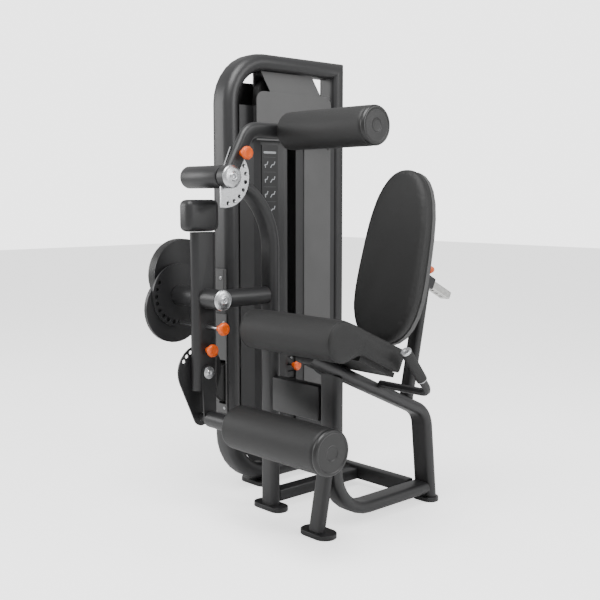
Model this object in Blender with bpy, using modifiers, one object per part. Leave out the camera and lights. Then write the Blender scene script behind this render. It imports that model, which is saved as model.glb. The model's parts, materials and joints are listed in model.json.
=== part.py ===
"""Seated leg extension and leg curl machine with its own weight tower.

Metres, +Z up. The user sits facing -Y, and the weight tower stands at the user's right, -X.
The origin is on the floor, at the middle of the machine's bounding box.
"""

import math

import bmesh
import bpy
from mathutils import Vector

GAP = 0.0003  # between pieces that touch
RUN = 0.0006  # radial clearance of what turns or slides

# Weight tower: one bent flat-oval tube and a back upright.
TOWER_X = -0.367
TOWER_TUBE = (0.100, 0.060)  # across X, and thickness
TOWER_FRONT_Y = -0.088
TOWER_BACK_Y = 0.423
TOWER_TOP_Z = 1.512
TOWER_LOW_Z = 0.046
TOWER_TOP_BEND = 0.150
TOWER_LOW_BEND = 0.160
TOWER_FEET_Y = (0.045, 0.395)
HOOD_Y = (-0.008, 0.350)
HOOD_Z = (1.240, 1.408)
HOOD_X = -0.297
NECK_Y = ((0.046, 0.290), (0.062, 0.306))  # at the tube, and at the plate
SHEET = 0.002  # wall of shrouds and covers
SHROUD_LOW_Z = 0.095
SHROUD_TOP_Z = 1.360
SHROUD_X = -0.320  # middle of the near side sheet
SHROUD_RECESS = 0.013
SLOT_Y = (0.146, 0.195)  # reading slot between the two near shrouds
GUARD_Z = (0.722, 0.797)
GUARD_T = 0.014
COVER_Z = (0.290, 0.640)

# Seat frame.
FRAME_TUBE = (0.080, 0.040)
SEAT_X = 0.178
RAIL_SLOPE = math.radians(24.7)  # the seat rail falls to the rear
RAIL_Y = -0.089
RAIL_Z = 0.506  # height of the rail's centre line at RAIL_Y
RAIL_FRONT_Y = -0.225
REAR_LEG_TOP_Y = 0.320
REAR_LEG_FOOT_Y = 0.352
SEAT_POST_Y = -0.110
SEAT_POST_BEND = 0.150
CROSS_Y = 0.312  # rear cross tube
FLOOR_Z = 0.050  # centre line of the tubes that run along the floor
FOOT_T = 0.016
LEG_TUBE = (0.060, 0.030)

# Cane-shaped post and its pivots.
POST_TUBE = (0.070, 0.040)
POST_X = -0.117
POST_Y = -0.105
POST_BEND = 0.230
HUB_Y, HUB_Z = -0.330, 0.725
THIGH_Y, THIGH_Z = -0.322, 1.107
SLEEVE_R = 0.0355
SLEEVE_END_X = -0.267
HOUSING_R = 0.0325
SHAFT_R = 0.015

# Swinging parts.
LEVER_X = -0.184
LEVER_TUBE = (0.040, 0.090)  # across X, and along Y
LEVER_LOW_Z = 0.430
LEVER_TOP_Z = 0.935
WEIGHT_BOX = (0.060, 0.125, 0.100)
PIN_CIRCLE = 0.090  # start holes round the hub
PIN_R = 0.006
CAM_PLATE_X = -0.317
CAM_PLATE_T = 0.008
BELT_X = -0.354
BELT_W, BELT_T = 0.026, 0.0035
CAM_R = 0.114
CAM_Y, CAM_Z = -0.293, 0.789
LOW_CAM_Y, LOW_CAM_Z = -0.340, 0.682
LINK_Z = 0.487  # link pivot on the lever
BOLT_R = 0.009
LINK_PIN_CIRCLE = 0.073
LINK_T = 0.006
ROLLER_Y, ROLLER_Z = -0.325, 0.335
LOW_ROLLER_R = 0.069
LOW_ROLLER_X = (-0.022, 0.384)
ROLLER_SHAFT_R = 0.0125
ARM_X = -0.059
ARM_TUBE = (0.030, 0.050)
ARM_BEND_Y, ARM_END_Y, ARM_TOP_Z = -0.242, -0.095, 1.252
THIGH_PIN_CIRCLE = 0.082
QUADRANT_T = 0.006
PIN_GAP = 0.0007  # each pin's nose stops this short of its plate
HIGH_ROLLER_R = 0.060
HIGH_ROLLER_X = (-0.032, 0.330)
CAP_T = 0.012

# Seat and backrest.
SEAT_W = 0.400
SEAT_T = 0.070
BOARD_T = 0.015
BOARD_LIFT = 0.005  # spacers between the rail and the board
ROLL_R = 0.061
ROLL_Y, ROLL_Z = -0.260, 0.640
SEAT_END_Y = 0.014
BACK_TILT = math.radians(14.0)
BACK_Y, BACK_Z = 0.0965, 0.566  # foot of the back pad's middle plane
BACK_L, BACK_T = 0.592, 0.045
BACK_LOW_W, BACK_TOP_W = 0.300, 0.240  # of the oval, before its ends are rounded
BACK_BOARD_T = 0.018
BAR_SLOPE = math.radians(26.6)
BAR_Y, BAR_Z = 0.325, 0.765  # middle of the sleeve that the slide bar runs in
BAR_SIZE = (0.040, 0.026)
SUPPORT_Y = 0.236  # foot of the backrest's support on the rail
SLEEVE_WALL = 0.006
HANDLE_R = 0.0125
HANDLE_X = SEAT_W / 2 + 0.042  # from the seat's middle to each hand rail
HANDLE_LOW, HANDLE_HIGH = (0.068, 0.452), (-0.040, 0.588)
PIN_ALONG = 0.004  # the adjustment pin, behind the sleeve's middle

# Weights, pulleys and guide rods inside the tower.
STACK_Y = 0.1675
PLATE_SIZE = (0.056, 0.290, 0.024)
STACK_LOW_Z = 0.115
RESTING, LIFTED = 10, 4
PLATE_STEP = 0.0265
ROD_R = 0.010
ROD_OFFSET = 0.108
PULLEY_W = 0.030
AXLE_R = 0.006
GUIDE_R = 0.070  # belt radius round the pulley in the tower's slot
GUIDE_Y = CAM_Y + CAM_R + 0.001 + BELT_T / 2 + GUIDE_R
GUIDE_Z = 0.400
NOTCH_Z = (0.322, 0.478)
TOP_R = 0.066
TOP_Y, TOP_Z = STACK_Y - TOP_R, 1.398
ROD_TOP_Z = 1.330

for leftover in list(bpy.data.objects):
    bpy.data.objects.remove(leftover)

machine = bpy.data.collections.new("leg_extension_machine")
cutters = bpy.data.collections.new("cutters")
bpy.context.scene.collection.children.link(machine)
bpy.context.scene.collection.children.link(cutters)


def material(name, colour, roughness, metallic):
    """A Principled finish shared by the pieces made of it."""
    made = bpy.data.materials.new(name)
    made.use_nodes = True
    shader = made.node_tree.nodes["Principled BSDF"]
    shader.inputs["Base Color"].default_value = (*colour, 1.0)
    shader.inputs["Roughness"].default_value = roughness
    shader.inputs["Metallic"].default_value = metallic
    return made


COAT = material("charcoal_powder_coat", (0.075, 0.075, 0.078), 0.5, 0.0)
PANEL = material("grey_powder_coat", (0.20, 0.20, 0.205), 0.5, 0.0)
LEATHER = material("black_upholstery", (0.035, 0.035, 0.037), 0.55, 0.0)
FOAM = material("black_roller_foam", (0.045, 0.045, 0.047), 0.6, 0.0)
PLASTIC = material("black_plastic", (0.03, 0.03, 0.03), 0.45, 0.0)
ORANGE = material("orange_plastic", (0.80, 0.28, 0.04), 0.35, 0.0)
STEEL = material("bright_steel", (0.62, 0.62, 0.63), 0.28, 1.0)
IRON = material("black_iron", (0.03, 0.03, 0.03), 0.5, 1.0)
RUBBER = material("belt_rubber", (0.02, 0.02, 0.02), 0.6, 0.0)
BOARD = material("black_board", (0.02, 0.02, 0.02), 0.6, 0.0)


# Helpers -----------------------------------------------------------------

def into(obj, collection):
    """Move an object from wherever it was linked into one collection."""
    for old in list(obj.users_collection):
        old.objects.unlink(obj)
    collection.objects.link(obj)
    return obj


def piece(obj, name, finish, pivot=None):
    """Name a sub-part, give it its finish, and hang it on its joint's empty."""
    obj.name = obj.data.name = name
    obj.data.materials.clear()
    obj.data.materials.append(finish)
    into(obj, machine)
    if pivot:
        obj.parent = pivot
        obj.matrix_parent_inverse = pivot.matrix_world.inverted()
    return obj


def pivot_at(name, x, y, z):
    """An empty on a joint's axis, which the moving pieces are parented to."""
    empty = bpy.data.objects.new(name, None)
    empty.location = (x, y, z)
    empty.empty_display_size = 0.03
    machine.objects.link(empty)
    bpy.context.view_layer.update()
    return empty


def box(centre, size, bevel=0.0, tilt=0.0, segments=2):
    """A box turned by tilt about X, with rounded edges."""
    bpy.ops.mesh.primitive_cube_add(size=1, location=centre, rotation=(tilt, 0, 0))
    made = bpy.context.object
    made.scale = size
    bpy.ops.object.transform_apply(location=False, rotation=False, scale=True)
    if bevel:
        edge = made.modifiers.new("edge", "BEVEL")
        edge.width = bevel
        edge.segments = segments
    return made


def rod(start, end, radius, sides=16, bevel=0.0):
    """A round bar from start to end."""
    start, end = Vector(start), Vector(end)
    run = end - start
    bpy.ops.mesh.primitive_cylinder_add(
        vertices=sides, radius=radius, depth=run.length, location=(start + end) / 2)
    made = bpy.context.object
    made.rotation_euler = run.to_track_quat("Z", "Y").to_euler()
    made.data.shade_smooth()
    made.data.set_sharp_from_angle(angle=math.radians(40))
    if bevel:
        edge = made.modifiers.new("edge", "BEVEL")
        edge.width = bevel
        edge.segments = 2
        edge.limit_method = "ANGLE"
    return made


def rod_x(low_x, high_x, y, z, radius, sides=16, bevel=0.0):
    """A round bar along X."""
    return rod((low_x, y, z), (high_x, y, z), radius, sides, bevel)


def rounded(corners, closed=False, steps=6):
    """Points along straight runs joined by arcs; corners are (y, z, radius)."""
    points = []
    count = len(corners)
    for i, (y, z, radius) in enumerate(corners):
        here = Vector((y, z))
        if radius == 0 or (not closed and i in (0, count - 1)):
            points.append(here)
            continue
        before = Vector(corners[i - 1][:2])
        after = Vector(corners[(i + 1) % count][:2])
        into_bend = (before - here).normalized()
        out_of_bend = (after - here).normalized()
        half = into_bend.angle(out_of_bend) / 2
        middle = here + (into_bend + out_of_bend).normalized() * radius / math.sin(half)
        start = here + into_bend * radius / math.tan(half) - middle
        turn = math.pi - 2 * half
        if start.cross(-into_bend) < 0:
            turn = -turn
        for k in range(steps + 1):
            angle = turn * k / steps
            cos, sin = math.cos(angle), math.sin(angle)
            points.append(middle + Vector((start.x * cos - start.y * sin,
                                           start.x * sin + start.y * cos)))
    return points


def circle(y, z, radius, sides=12):
    """Points round a circle."""
    turns = (2 * math.pi * k / sides for k in range(sides))
    return [Vector((y + radius * math.cos(a), z + radius * math.sin(a))) for a in turns]


def hole(y, z, radius, sides=12):
    """Points round a hole whose flats clear the radius."""
    return circle(y, z, radius / math.cos(math.pi / sides), sides)


def bore(start, end, radius, sides=16):
    """A cutter for a bore whose flats clear the radius."""
    return rod(start, end, radius / math.cos(math.pi / sides), sides)


def bore_x(low_x, high_x, y, z, radius, sides=16):
    """A cutter for a bore along X."""
    return bore((low_x, y, z), (high_x, y, z), radius, sides)


def spline_curve(name, outlines, closed):
    """A flat curve of straight-sided outlines."""
    curve = bpy.data.curves.new(name, "CURVE")
    curve.dimensions = "2D"
    for outline in outlines:
        spline = curve.splines.new("POLY")
        spline.points.add(len(outline) - 1)
        for point, place in zip(spline.points, outline):
            point.co = (place.x, place.y, 0, 1)
        spline.use_cyclic_u = closed
    made = bpy.data.objects.new(name, curve)
    bpy.context.scene.collection.objects.link(made)
    return made


def oval_profile(width, thickness, steps=5):
    """The flat-oval section of a tube: width lies across X, thickness in the YZ plane."""
    radius = min(width, thickness) / 2
    half_w, half_t = width / 2 - radius, thickness / 2 - radius
    points = []
    for k in range(4):
        corner_w = half_w if k in (0, 3) else -half_w
        corner_t = half_t if k in (0, 1) else -half_t
        for step in range(steps + 1):
            angle = math.pi / 2 * (k + step / steps)
            point = Vector((corner_t + radius * math.sin(angle),
                            corner_w + radius * math.cos(angle)))
            if not points or (point - points[-1]).length > 1e-6:
                points.append(point)
    if (points[0] - points[-1]).length < 1e-6:
        points.pop()
    made = spline_curve("oval_profile", [points], True)
    made.data.fill_mode = "NONE"
    made.hide_render = True
    made.display_type = "WIRE"
    return into(made, cutters)


def meshed(curve_object):
    """A curve made a mesh, with its caps welded on, so that it can be cut."""
    bpy.context.view_layer.update()
    graph = bpy.context.evaluated_depsgraph_get()
    mesh = bpy.data.meshes.new_from_object(curve_object.evaluated_get(graph))
    work = bmesh.new()
    work.from_mesh(mesh)
    bmesh.ops.remove_doubles(work, verts=work.verts, dist=1e-6)
    bmesh.ops.recalc_face_normals(work, faces=work.faces)
    work.to_mesh(mesh)
    work.free()
    made = bpy.data.objects.new(curve_object.name, mesh)
    made.matrix_world = curve_object.matrix_world
    bpy.context.scene.collection.objects.link(made)
    bpy.data.objects.remove(curve_object)
    return made


def oval_tube(x, points, width, thickness, steps=5):
    """A flat-oval tube swept along points (y, z) in the plane X = x."""
    made = spline_curve("tube", [points], False)
    made.data.fill_mode = "NONE"
    made.data.bevel_mode = "OBJECT"
    made.data.bevel_object = oval_profile(width, thickness, steps)
    made.data.use_fill_caps = True
    made.location.x = x
    made.rotation_euler = (math.pi / 2, 0, math.pi / 2)
    return meshed(made)


def plate(low_x, high_x, outline, holes=()):
    """A flat plate in the YZ plane, between two X values, with its holes."""
    made = spline_curve("plate", [outline, *holes], True)
    made.data.fill_mode = "BOTH"
    made.data.extrude = (high_x - low_x) / 2
    made.location.x = (low_x + high_x) / 2
    made.rotation_euler = (math.pi / 2, 0, math.pi / 2)
    return meshed(made)


def floor_plate(x, y, size_x, size_y, low_z, thickness, bevel=0.003):
    """A stadium-shaped foot plate with rounded edges, flat on the floor."""
    radius = min(size_x, size_y) / 2
    half_x, half_y = size_x / 2, size_y / 2
    corners = [(half_x, half_y, radius * 0.98), (-half_x, half_y, radius * 0.98),
               (-half_x, -half_y, radius * 0.98), (half_x, -half_y, radius * 0.98)]
    made = spline_curve("foot", [rounded(corners, True, 5)], True)
    made.data.fill_mode = "BOTH"
    made.data.extrude = thickness / 2
    made.location = (x, y, low_z + thickness / 2)
    made = meshed(made)
    edge = made.modifiers.new("edge", "BEVEL")
    edge.width = bevel
    edge.segments = 1
    edge.limit_method = "ANGLE"
    return made


def turned(profile, low_x, y, z, steps=32):
    """A solid of revolution along X; profile is a closed list of (radius, distance from low_x)."""
    mesh = bpy.data.meshes.new("turned")
    count = len(profile)
    on_axis = profile[0][0] == 0
    ends = count - 1 if on_axis else count
    mesh.from_pydata([(r, 0, d) for r, d in profile],
                     [(k, (k + 1) % count) for k in range(ends)], [])
    made = bpy.data.objects.new("turned", mesh)
    bpy.context.scene.collection.objects.link(made)
    made.location = (low_x, y, z)
    made.rotation_euler = (0, math.pi / 2, 0)
    screw = made.modifiers.new("turn", "SCREW")
    screw.steps = screw.render_steps = steps
    screw.use_merge_vertices = True
    screw.merge_threshold = 0.00001
    return made


def boolean(target, tool, operation):
    """Cut the tool from the target or join it on; the tool goes with the cutters."""
    step = target.modifiers.new(operation.lower(), "BOOLEAN")
    step.operation = operation
    step.solver = "EXACT"
    step.object = tool
    tool.hide_render = True
    tool.display_type = "WIRE"
    into(tool, cutters)
    return target


def cut(target, tool):
    return boolean(target, tool, "DIFFERENCE")


def join(target, tool):
    return boolean(target, tool, "UNION")


def rail_z(y, above=0.0):
    """Height of the inclined seat rail's centre line, or of a line above it, at y."""
    return RAIL_Z - math.tan(RAIL_SLOPE) * (y - RAIL_Y) + above / math.cos(RAIL_SLOPE)


def around(y, z, radius, degrees):
    """The point at an angle on a circle in the YZ plane: 0 is the rear, 90 is up."""
    angle = math.radians(degrees)
    return y + radius * math.cos(angle), z + radius * math.sin(angle)


# Weight tower --------------------------------------------------------------

def tower_loop(room=0.0):
    """The tower's bent tube, or a cutter that leaves room round it."""
    width, thick = TOWER_TUBE
    back_end = TOWER_BACK_Y
    path = rounded([
        (back_end, TOWER_LOW_Z, 0),
        (TOWER_FRONT_Y, TOWER_LOW_Z, TOWER_LOW_BEND),
        (TOWER_FRONT_Y, TOWER_TOP_Z, TOWER_TOP_BEND),
        (back_end, TOWER_TOP_Z, 0),
    ], steps=8)
    return oval_tube(TOWER_X, path, width + 2 * room, thick + 2 * room)


def tower():
    """The bent loop with its back upright, its feet, and the slot where the belt goes in."""
    thick = TOWER_TUBE[1]
    loop = tower_loop()
    notch_low, notch_high = NOTCH_Z
    cut(loop, box((BELT_X, TOWER_FRONT_Y, (notch_low + notch_high) / 2),
                  (PULLEY_W + 0.008, thick + 0.02, notch_high - notch_low)))
    cut(loop, bore_x(BELT_X - 0.026, BELT_X + 0.026, GUIDE_Y, GUIDE_Z, AXLE_R + RUN))
    join(loop, oval_tube(TOWER_X, [Vector((TOWER_BACK_Y, TOWER_LOW_Z)),
                                   Vector((TOWER_BACK_Y, TOWER_TOP_Z))],
                         TOWER_TUBE[0], thick - 2 * GAP))
    for z in (TOWER_LOW_Z, TOWER_TOP_Z):
        mitre = oval_tube(TOWER_X, [Vector((TOWER_BACK_Y - 0.040, z)), Vector((TOWER_BACK_Y + 0.040, z))],
                          TOWER_TUBE[0], thick)
        upright = oval_tube(TOWER_X, [Vector((TOWER_BACK_Y, z - 0.040)), Vector((TOWER_BACK_Y, z + 0.040))],
                            TOWER_TUBE[0], thick - 2 * GAP)
        join(loop, boolean(mitre, upright, "INTERSECT"))
    piece(loop, "tower_frame", COAT)
    foot_t = TOWER_LOW_Z - thick / 2 - GAP
    for name, y in (("tower_foot_front", TOWER_FEET_Y[0]), ("tower_foot_rear", TOWER_FEET_Y[1])):
        piece(floor_plate(TOWER_X, y, 0.140, 0.066, 0, foot_t), name, COAT)


def bent_sheet(profile, low_z, high_z):
    """A folded sheet: a line of (y, x) in plan, raised from low_z to high_z and thickened."""
    mesh = bpy.data.meshes.new("sheet")
    bottom = [(x, y, low_z) for y, x in profile]
    top = [(x, y, high_z) for y, x in profile]
    count = len(profile)
    mesh.from_pydata(bottom + top, [],
                     [(k, k + 1, count + k + 1, count + k) for k in range(count - 1)])
    made = bpy.data.objects.new("sheet", mesh)
    bpy.context.scene.collection.objects.link(made)
    wall = made.modifiers.new("wall", "SOLIDIFY")
    wall.thickness = SHEET
    wall.offset = 0
    return made


def shrouds():
    """The folded sheets that close the tower on both sides, the raised panel and the placard."""
    front = TOWER_FRONT_Y + TOWER_TUBE[1] / 2 + 0.002
    back = TOWER_BACK_Y - TOWER_TUBE[1] / 2 - 0.002
    recess = SHROUD_X - SHROUD_RECESS
    slot_front, slot_rear = SLOT_Y
    fold = front + 0.064
    lip = SHROUD_X + 0.008
    near = bent_sheet([(front, recess), (fold, recess), (fold + 0.020, SHROUD_X),
                       (slot_front - 0.034, SHROUD_X), (slot_front - 0.020, lip),
                       (slot_front, lip)], SHROUD_LOW_Z, SHROUD_TOP_Z)
    piece(cut(near, tower_loop(0.001)), "front_shroud", COAT)
    piece(bent_sheet([(slot_rear, SHROUD_X), (back, SHROUD_X)], SHROUD_LOW_Z, SHROUD_TOP_Z),
          "rear_shroud", COAT)
    far_x = 2 * TOWER_X - SHROUD_X - 0.004
    far = plate(far_x - SHEET / 2, far_x + SHEET / 2,
                [Vector(p) for p in ((front, SHROUD_LOW_Z), (back, SHROUD_LOW_Z),
                                     (back, SHROUD_TOP_Z), (0.318, SHROUD_TOP_Z), (0.300, 1.447),
                                     (-0.018, 1.447), (front, 1.400))])
    piece(cut(far, tower_loop(0.001)), "far_shroud", COAT)
    low_x = SHROUD_X + SHEET / 2 + GAP
    panel_z = (0.330, 1.235)
    piece(box((low_x + 0.0015, (slot_rear + 0.039 + back - 0.023) / 2, sum(panel_z) / 2),
              (0.003, back - slot_rear - 0.062, panel_z[1] - panel_z[0])),
          "access_panel", PANEL)
    placard_z = (0.945, 1.226)
    piece(box((low_x + 0.0015, fold + 0.020 + 0.040, sum(placard_z) / 2),
              (0.003, 0.074, placard_z[1] - placard_z[0])),
          "placard", PLASTIC)


def hood():
    """The light grey cover plate under the tower's top, held off the tube by a slanted neck."""
    (front, back), (low_z, high_z) = HOOD_Y, HOOD_Z
    face_x, face_t = HOOD_X, 0.003
    outline = rounded([(front, low_z, 0), (back, low_z, 0), (back, high_z, 0.032),
                       (front, high_z, 0.032)], True, 5)
    made = plate(face_x - face_t / 2, face_x + face_t / 2, outline)
    root_x, root_z = TOWER_X + 0.030, TOWER_TOP_Z - TOWER_TUBE[1] / 2 - GAP
    shape = bmesh.new()
    for ends, x, z in ((NECK_Y[0], root_x, root_z), (NECK_Y[1], face_x, high_z - 0.012)):
        for y in ends:
            for step in (0, face_t):
                shape.verts.new((x - step / 2 + face_t / 4, y, z - (step if z == root_z else 0)))
    bmesh.ops.convex_hull(shape, input=shape.verts)
    mesh = bpy.data.meshes.new("neck")
    shape.to_mesh(mesh)
    shape.free()
    neck = bpy.data.objects.new("neck", mesh)
    bpy.context.scene.collection.objects.link(neck)
    piece(join(made, neck), "hood", PANEL)


def front_covers():
    """The bolted plates on the tower's front face; the longer one frames the belt's slot."""
    face = TOWER_FRONT_Y - TOWER_TUBE[1] / 2 - GAP
    flat = TOWER_TUBE[0] - TOWER_TUBE[1]
    for name, (low, high), deep in (("belt_guard", GUARD_Z, GUARD_T), ("front_cover", COVER_Z, 0.005)):
        made = box((TOWER_X, face - deep / 2, (low + high) / 2),
                   (flat + 0.032, deep, high - low), 0.0015, segments=1)
        if name == "front_cover":
            cut(made, box((BELT_X, face, sum(NOTCH_Z) / 2),
                          (PULLEY_W + 0.008, 0.04, NOTCH_Z[1] - NOTCH_Z[0])))
        piece(made, name, PANEL)


# Seat frame ------------------------------------------------------------------

def seat_frame():
    """The inclined rail with its rear leg, the front post, the front leg and the feet."""
    width, thick = FRAME_TUBE
    corner_z = rail_z(REAR_LEG_TOP_Y)
    rail = oval_tube(SEAT_X, rounded([
        (RAIL_FRONT_Y, rail_z(RAIL_FRONT_Y), 0), (REAR_LEG_TOP_Y, corner_z, 0.085),
        (REAR_LEG_FOOT_Y, FOOT_T + GAP, 0)], steps=7), width, thick)
    cut(rail, box((SEAT_X, REAR_LEG_FOOT_Y, FOOT_T + GAP - 0.02), (0.2, 0.2, 0.04)))
    piece(rail, "seat_rail", COAT)
    lean = (REAR_LEG_FOOT_Y - REAR_LEG_TOP_Y) / (corner_z - FOOT_T)
    floor_end = REAR_LEG_FOOT_Y - lean * FLOOR_Z - thick / 2 - 0.002
    post = oval_tube(SEAT_X, rounded([
        (SEAT_POST_Y, rail_z(SEAT_POST_Y), 0), (SEAT_POST_Y, FLOOR_Z, SEAT_POST_BEND),
        (floor_end, FLOOR_Z, 0)], steps=8), width, thick)
    above = thick / 2 + GAP
    lid = box((SEAT_X, SEAT_POST_Y, rail_z(SEAT_POST_Y, 0.05 - above)),
              (0.3, 0.3, 0.1), tilt=-RAIL_SLOPE)
    leg_w, leg_t = LEG_TUBE
    leg_top_y = SEAT_POST_Y - thick / 2
    join(post, oval_tube(SEAT_X, [Vector((leg_top_y - 0.046, 0.0)), Vector((leg_top_y, 0.240))],
                         leg_w, leg_t))
    cut(post, lid)
    cut(post, box((SEAT_X, leg_top_y, FOOT_T + GAP - 0.02), (0.2, 0.3, 0.04)))
    piece(post, "seat_post", COAT)
    piece(floor_plate(SEAT_X, leg_top_y - 0.036, 0.130, 0.075, 0, FOOT_T), "front_foot", COAT)
    piece(floor_plate(SEAT_X, REAR_LEG_FOOT_Y, 0.095, 0.060, 0, FOOT_T), "rear_foot", COAT)


def cross_members():
    """The box beam between the posts, the floor rail and the rear cross tube."""
    left = POST_X + POST_TUBE[0] / 2 + GAP
    right = SEAT_X - FRAME_TUBE[0] / 2 - GAP
    piece(box(((left + right) / 2, SEAT_POST_Y, 0.402), (right - left, 0.040, 0.112), 0.006),
          "cross_beam", COAT)
    tower_side = TOWER_X + TOWER_TUBE[0] / 2 + GAP
    rear_y = CROSS_Y
    rear = box(((tower_side + right) / 2, rear_y, 0.046), (right - tower_side, 0.040, 0.050), 0.006)
    front = POST_Y + POST_TUBE[1] / 2 + GAP
    join(rear, box((POST_X, (front + rear_y) / 2, 0.042), (0.050, rear_y - front, 0.040), 0.005))
    piece(rear, "floor_rails", COAT)


# Cane post and the fixed pivot tubes ---------------------------------------

def cane_post():
    """The post that bends forward at its top into the thigh pivot, and its foot."""
    width, thick = POST_TUBE
    bend_z = THIGH_Z - POST_BEND
    sweep = [Vector(around(POST_Y - POST_BEND, bend_z, POST_BEND, a)) for a in range(0, 85, 7)]
    post = oval_tube(POST_X, [Vector((POST_Y, 0.002)), *sweep], width, thick)
    join(post, floor_plate(POST_X, POST_Y, 0.140, 0.066, 0, FOOT_T))
    cut(post, bore_x(POST_X - 0.1, POST_X + 0.1, THIGH_Y, THIGH_Z, SLEEVE_R + GAP, 32))
    piece(post, "cane_post", COAT)


def pivot_tubes():
    """The thigh sleeve on the post's end, and the hub housing on its stub."""
    piece(rod_x(SLEEVE_END_X, POST_X + POST_TUBE[0] / 2, THIGH_Y, THIGH_Z, SLEEVE_R, 28, 0.007),
          "thigh_sleeve", COAT)
    low = LEVER_X + LEVER_TUBE[0] / 2 + 0.004
    housing = rod_x(low, POST_X + 0.030, HUB_Y, HUB_Z, HOUSING_R, 28)
    join(housing, rod((POST_X, HUB_Y, HUB_Z), (POST_X, POST_Y - POST_TUBE[1] / 2 - GAP, HUB_Z),
                      0.029, 24))
    cut(housing, bore_x(low - 0.01, POST_X + 0.1, HUB_Y, HUB_Z, SHAFT_R + RUN, 24))
    piece(housing, "pivot_housing", COAT)


def sector_outline(y, z, hub_r, outer_r, low, high, steps):
    """Outline of a fan-shaped plate: a hub circle with a sector of a larger radius."""
    fan = [Vector(around(y, z, outer_r, low + (high - low) * k / steps))
           for k in range(steps + 1)]
    rest = 360 - (high - low)
    back = [Vector(around(y, z, hub_r, high + rest * k / 8)) for k in range(1, 8)]
    return fan + back


def quadrant():
    """The bright plate whose holes set the thigh arm's height."""
    low_x = POST_X + POST_TUBE[0] / 2 + GAP
    outline = sector_outline(THIGH_Y, THIGH_Z, 0.030, 0.095, -100, 76, 14)
    holes = [hole(*around(THIGH_Y, THIGH_Z, THIGH_PIN_CIRCLE, ARM_ANGLE - 18 * k), PIN_R + RUN)
             for k in range(9)]
    made = plate(low_x, low_x + QUADRANT_T, outline, holes)
    piece(made, "quadrant_plate", STEEL)


# Swinging parts ------------------------------------------------------------

ARM_ANGLE = math.degrees(math.atan2(ARM_TOP_Z - THIGH_Z, ARM_BEND_Y - THIGH_Y))


def cam(pivot):
    """The start plate, the two belt cams, and the headed shaft they turn on."""
    low_x, high_x = CAM_PLATE_X - CAM_PLATE_T / 2, CAM_PLATE_X + CAM_PLATE_T / 2
    holes = [hole(*around(HUB_Y, HUB_Z, PIN_CIRCLE, -90 - 15 * k), PIN_R + RUN)
             for k in range(9)]
    start_plate = plate(low_x, high_x, circle(HUB_Y, HUB_Z, PIN_CIRCLE + 0.014, 40),
                        [hole(HUB_Y, HUB_Z, SHAFT_R + GAP, 16), *holes])
    piece(start_plate, "start_plate", COAT, pivot)
    low_cam_x = low_x - GAP
    low_cam = plate(low_cam_x - 0.014, low_cam_x, circle(LOW_CAM_Y, LOW_CAM_Z, CAM_R, 40),
                    [hole(HUB_Y, HUB_Z, SHAFT_R + GAP, 16)])
    piece(low_cam, "lower_cam", COAT, pivot)
    groove = 0.006
    depth = BELT_W + 2 * (groove + RUN)
    high = BELT_X + depth / 2
    rim = [(CAM_R + 0.004, 0), (CAM_R + 0.004, groove), (CAM_R, groove),
           (CAM_R, depth - groove), (CAM_R + 0.004, depth - groove), (CAM_R + 0.004, depth)]
    upper = turned([(0, depth), *reversed(rim), (0, 0)], high - depth, CAM_Y, CAM_Z, 40)
    cut(upper, bore_x(high - depth - 0.01, high + 0.01, HUB_Y, HUB_Z, SHAFT_R + GAP))
    cut(upper, box((low_cam_x - 0.004, HUB_Y, HUB_Z), (0.022, 0.5, 0.5)))
    piece(upper, "belt_cam", COAT, pivot)
    start = high - depth + 0.002
    length = POST_X + 0.034 - start
    shaft = [(0, length + 0.013), (0.012, length + 0.013), (0.013, length + 0.009),
             (0.024, length + 0.008), (0.034, length + 0.003), (0.034, length), (SHAFT_R, length),
             (SHAFT_R, 0), (0, 0)]
    piece(turned(shaft, start, HUB_Y, HUB_Z, 28), "hub_shaft", STEEL, pivot)


def lever(pivot, link_pivot):
    """The upright tube with its hub sleeve, balance weight, pull pins and link bolt."""
    width, deep = LEVER_TUBE
    tube = oval_tube(LEVER_X, [Vector((HUB_Y, LEVER_LOW_Z)), Vector((HUB_Y, LEVER_TOP_Z))],
                     width, deep)
    face = LEVER_X + width / 2
    plate_face = CAM_PLATE_X + CAM_PLATE_T / 2 + 0.001
    join(tube, rod_x(plate_face, face + 0.003, HUB_Y, HUB_Z, HOUSING_R, 28))
    pin_z = HUB_Z - PIN_CIRCLE
    for z, radius in ((HUB_Z, SHAFT_R + RUN), (pin_z, PIN_R + RUN),
                      (LINK_Z + LINK_PIN_CIRCLE, PIN_R + RUN), (LINK_Z, BOLT_R + RUN)):
        cut(tube, bore_x(plate_face - 0.02, face + 0.02, HUB_Y, z, radius, 20))
    piece(tube, "lever_tube", COAT, pivot)
    box_z = LEVER_TOP_Z + 0.002 + WEIGHT_BOX[2] / 2
    piece(box((LEVER_X, HUB_Y - 0.012, box_z), WEIGHT_BOX, 0.020, segments=4),
          "balance_weight", COAT, pivot)
    head = [(0, 0.006), (0.007, 0.006), (0.008, 0.003), (0.020, 0.002), (0.020, 0), (BOLT_R, 0),
            (BOLT_R, -0.060), (0, -0.060)]
    near = face + LINK_T + 2 * GAP
    piece(turned(head, near + GAP, HUB_Y, LINK_Z, 24), "link_bolt", STEEL, link_pivot)


def knob_profile(stem):
    """Outline of a pull knob with its stem, from the tip of the pin to the knob's face."""
    return [(0, stem + 0.034), (0.014, stem + 0.034), (0.021, stem + 0.029), (0.022, stem + 0.021),
            (0.017, stem + 0.012), (0.010, stem + 0.009), (0.010, stem), (PIN_R, stem), (PIN_R, 0),
            (0, 0)]


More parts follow.
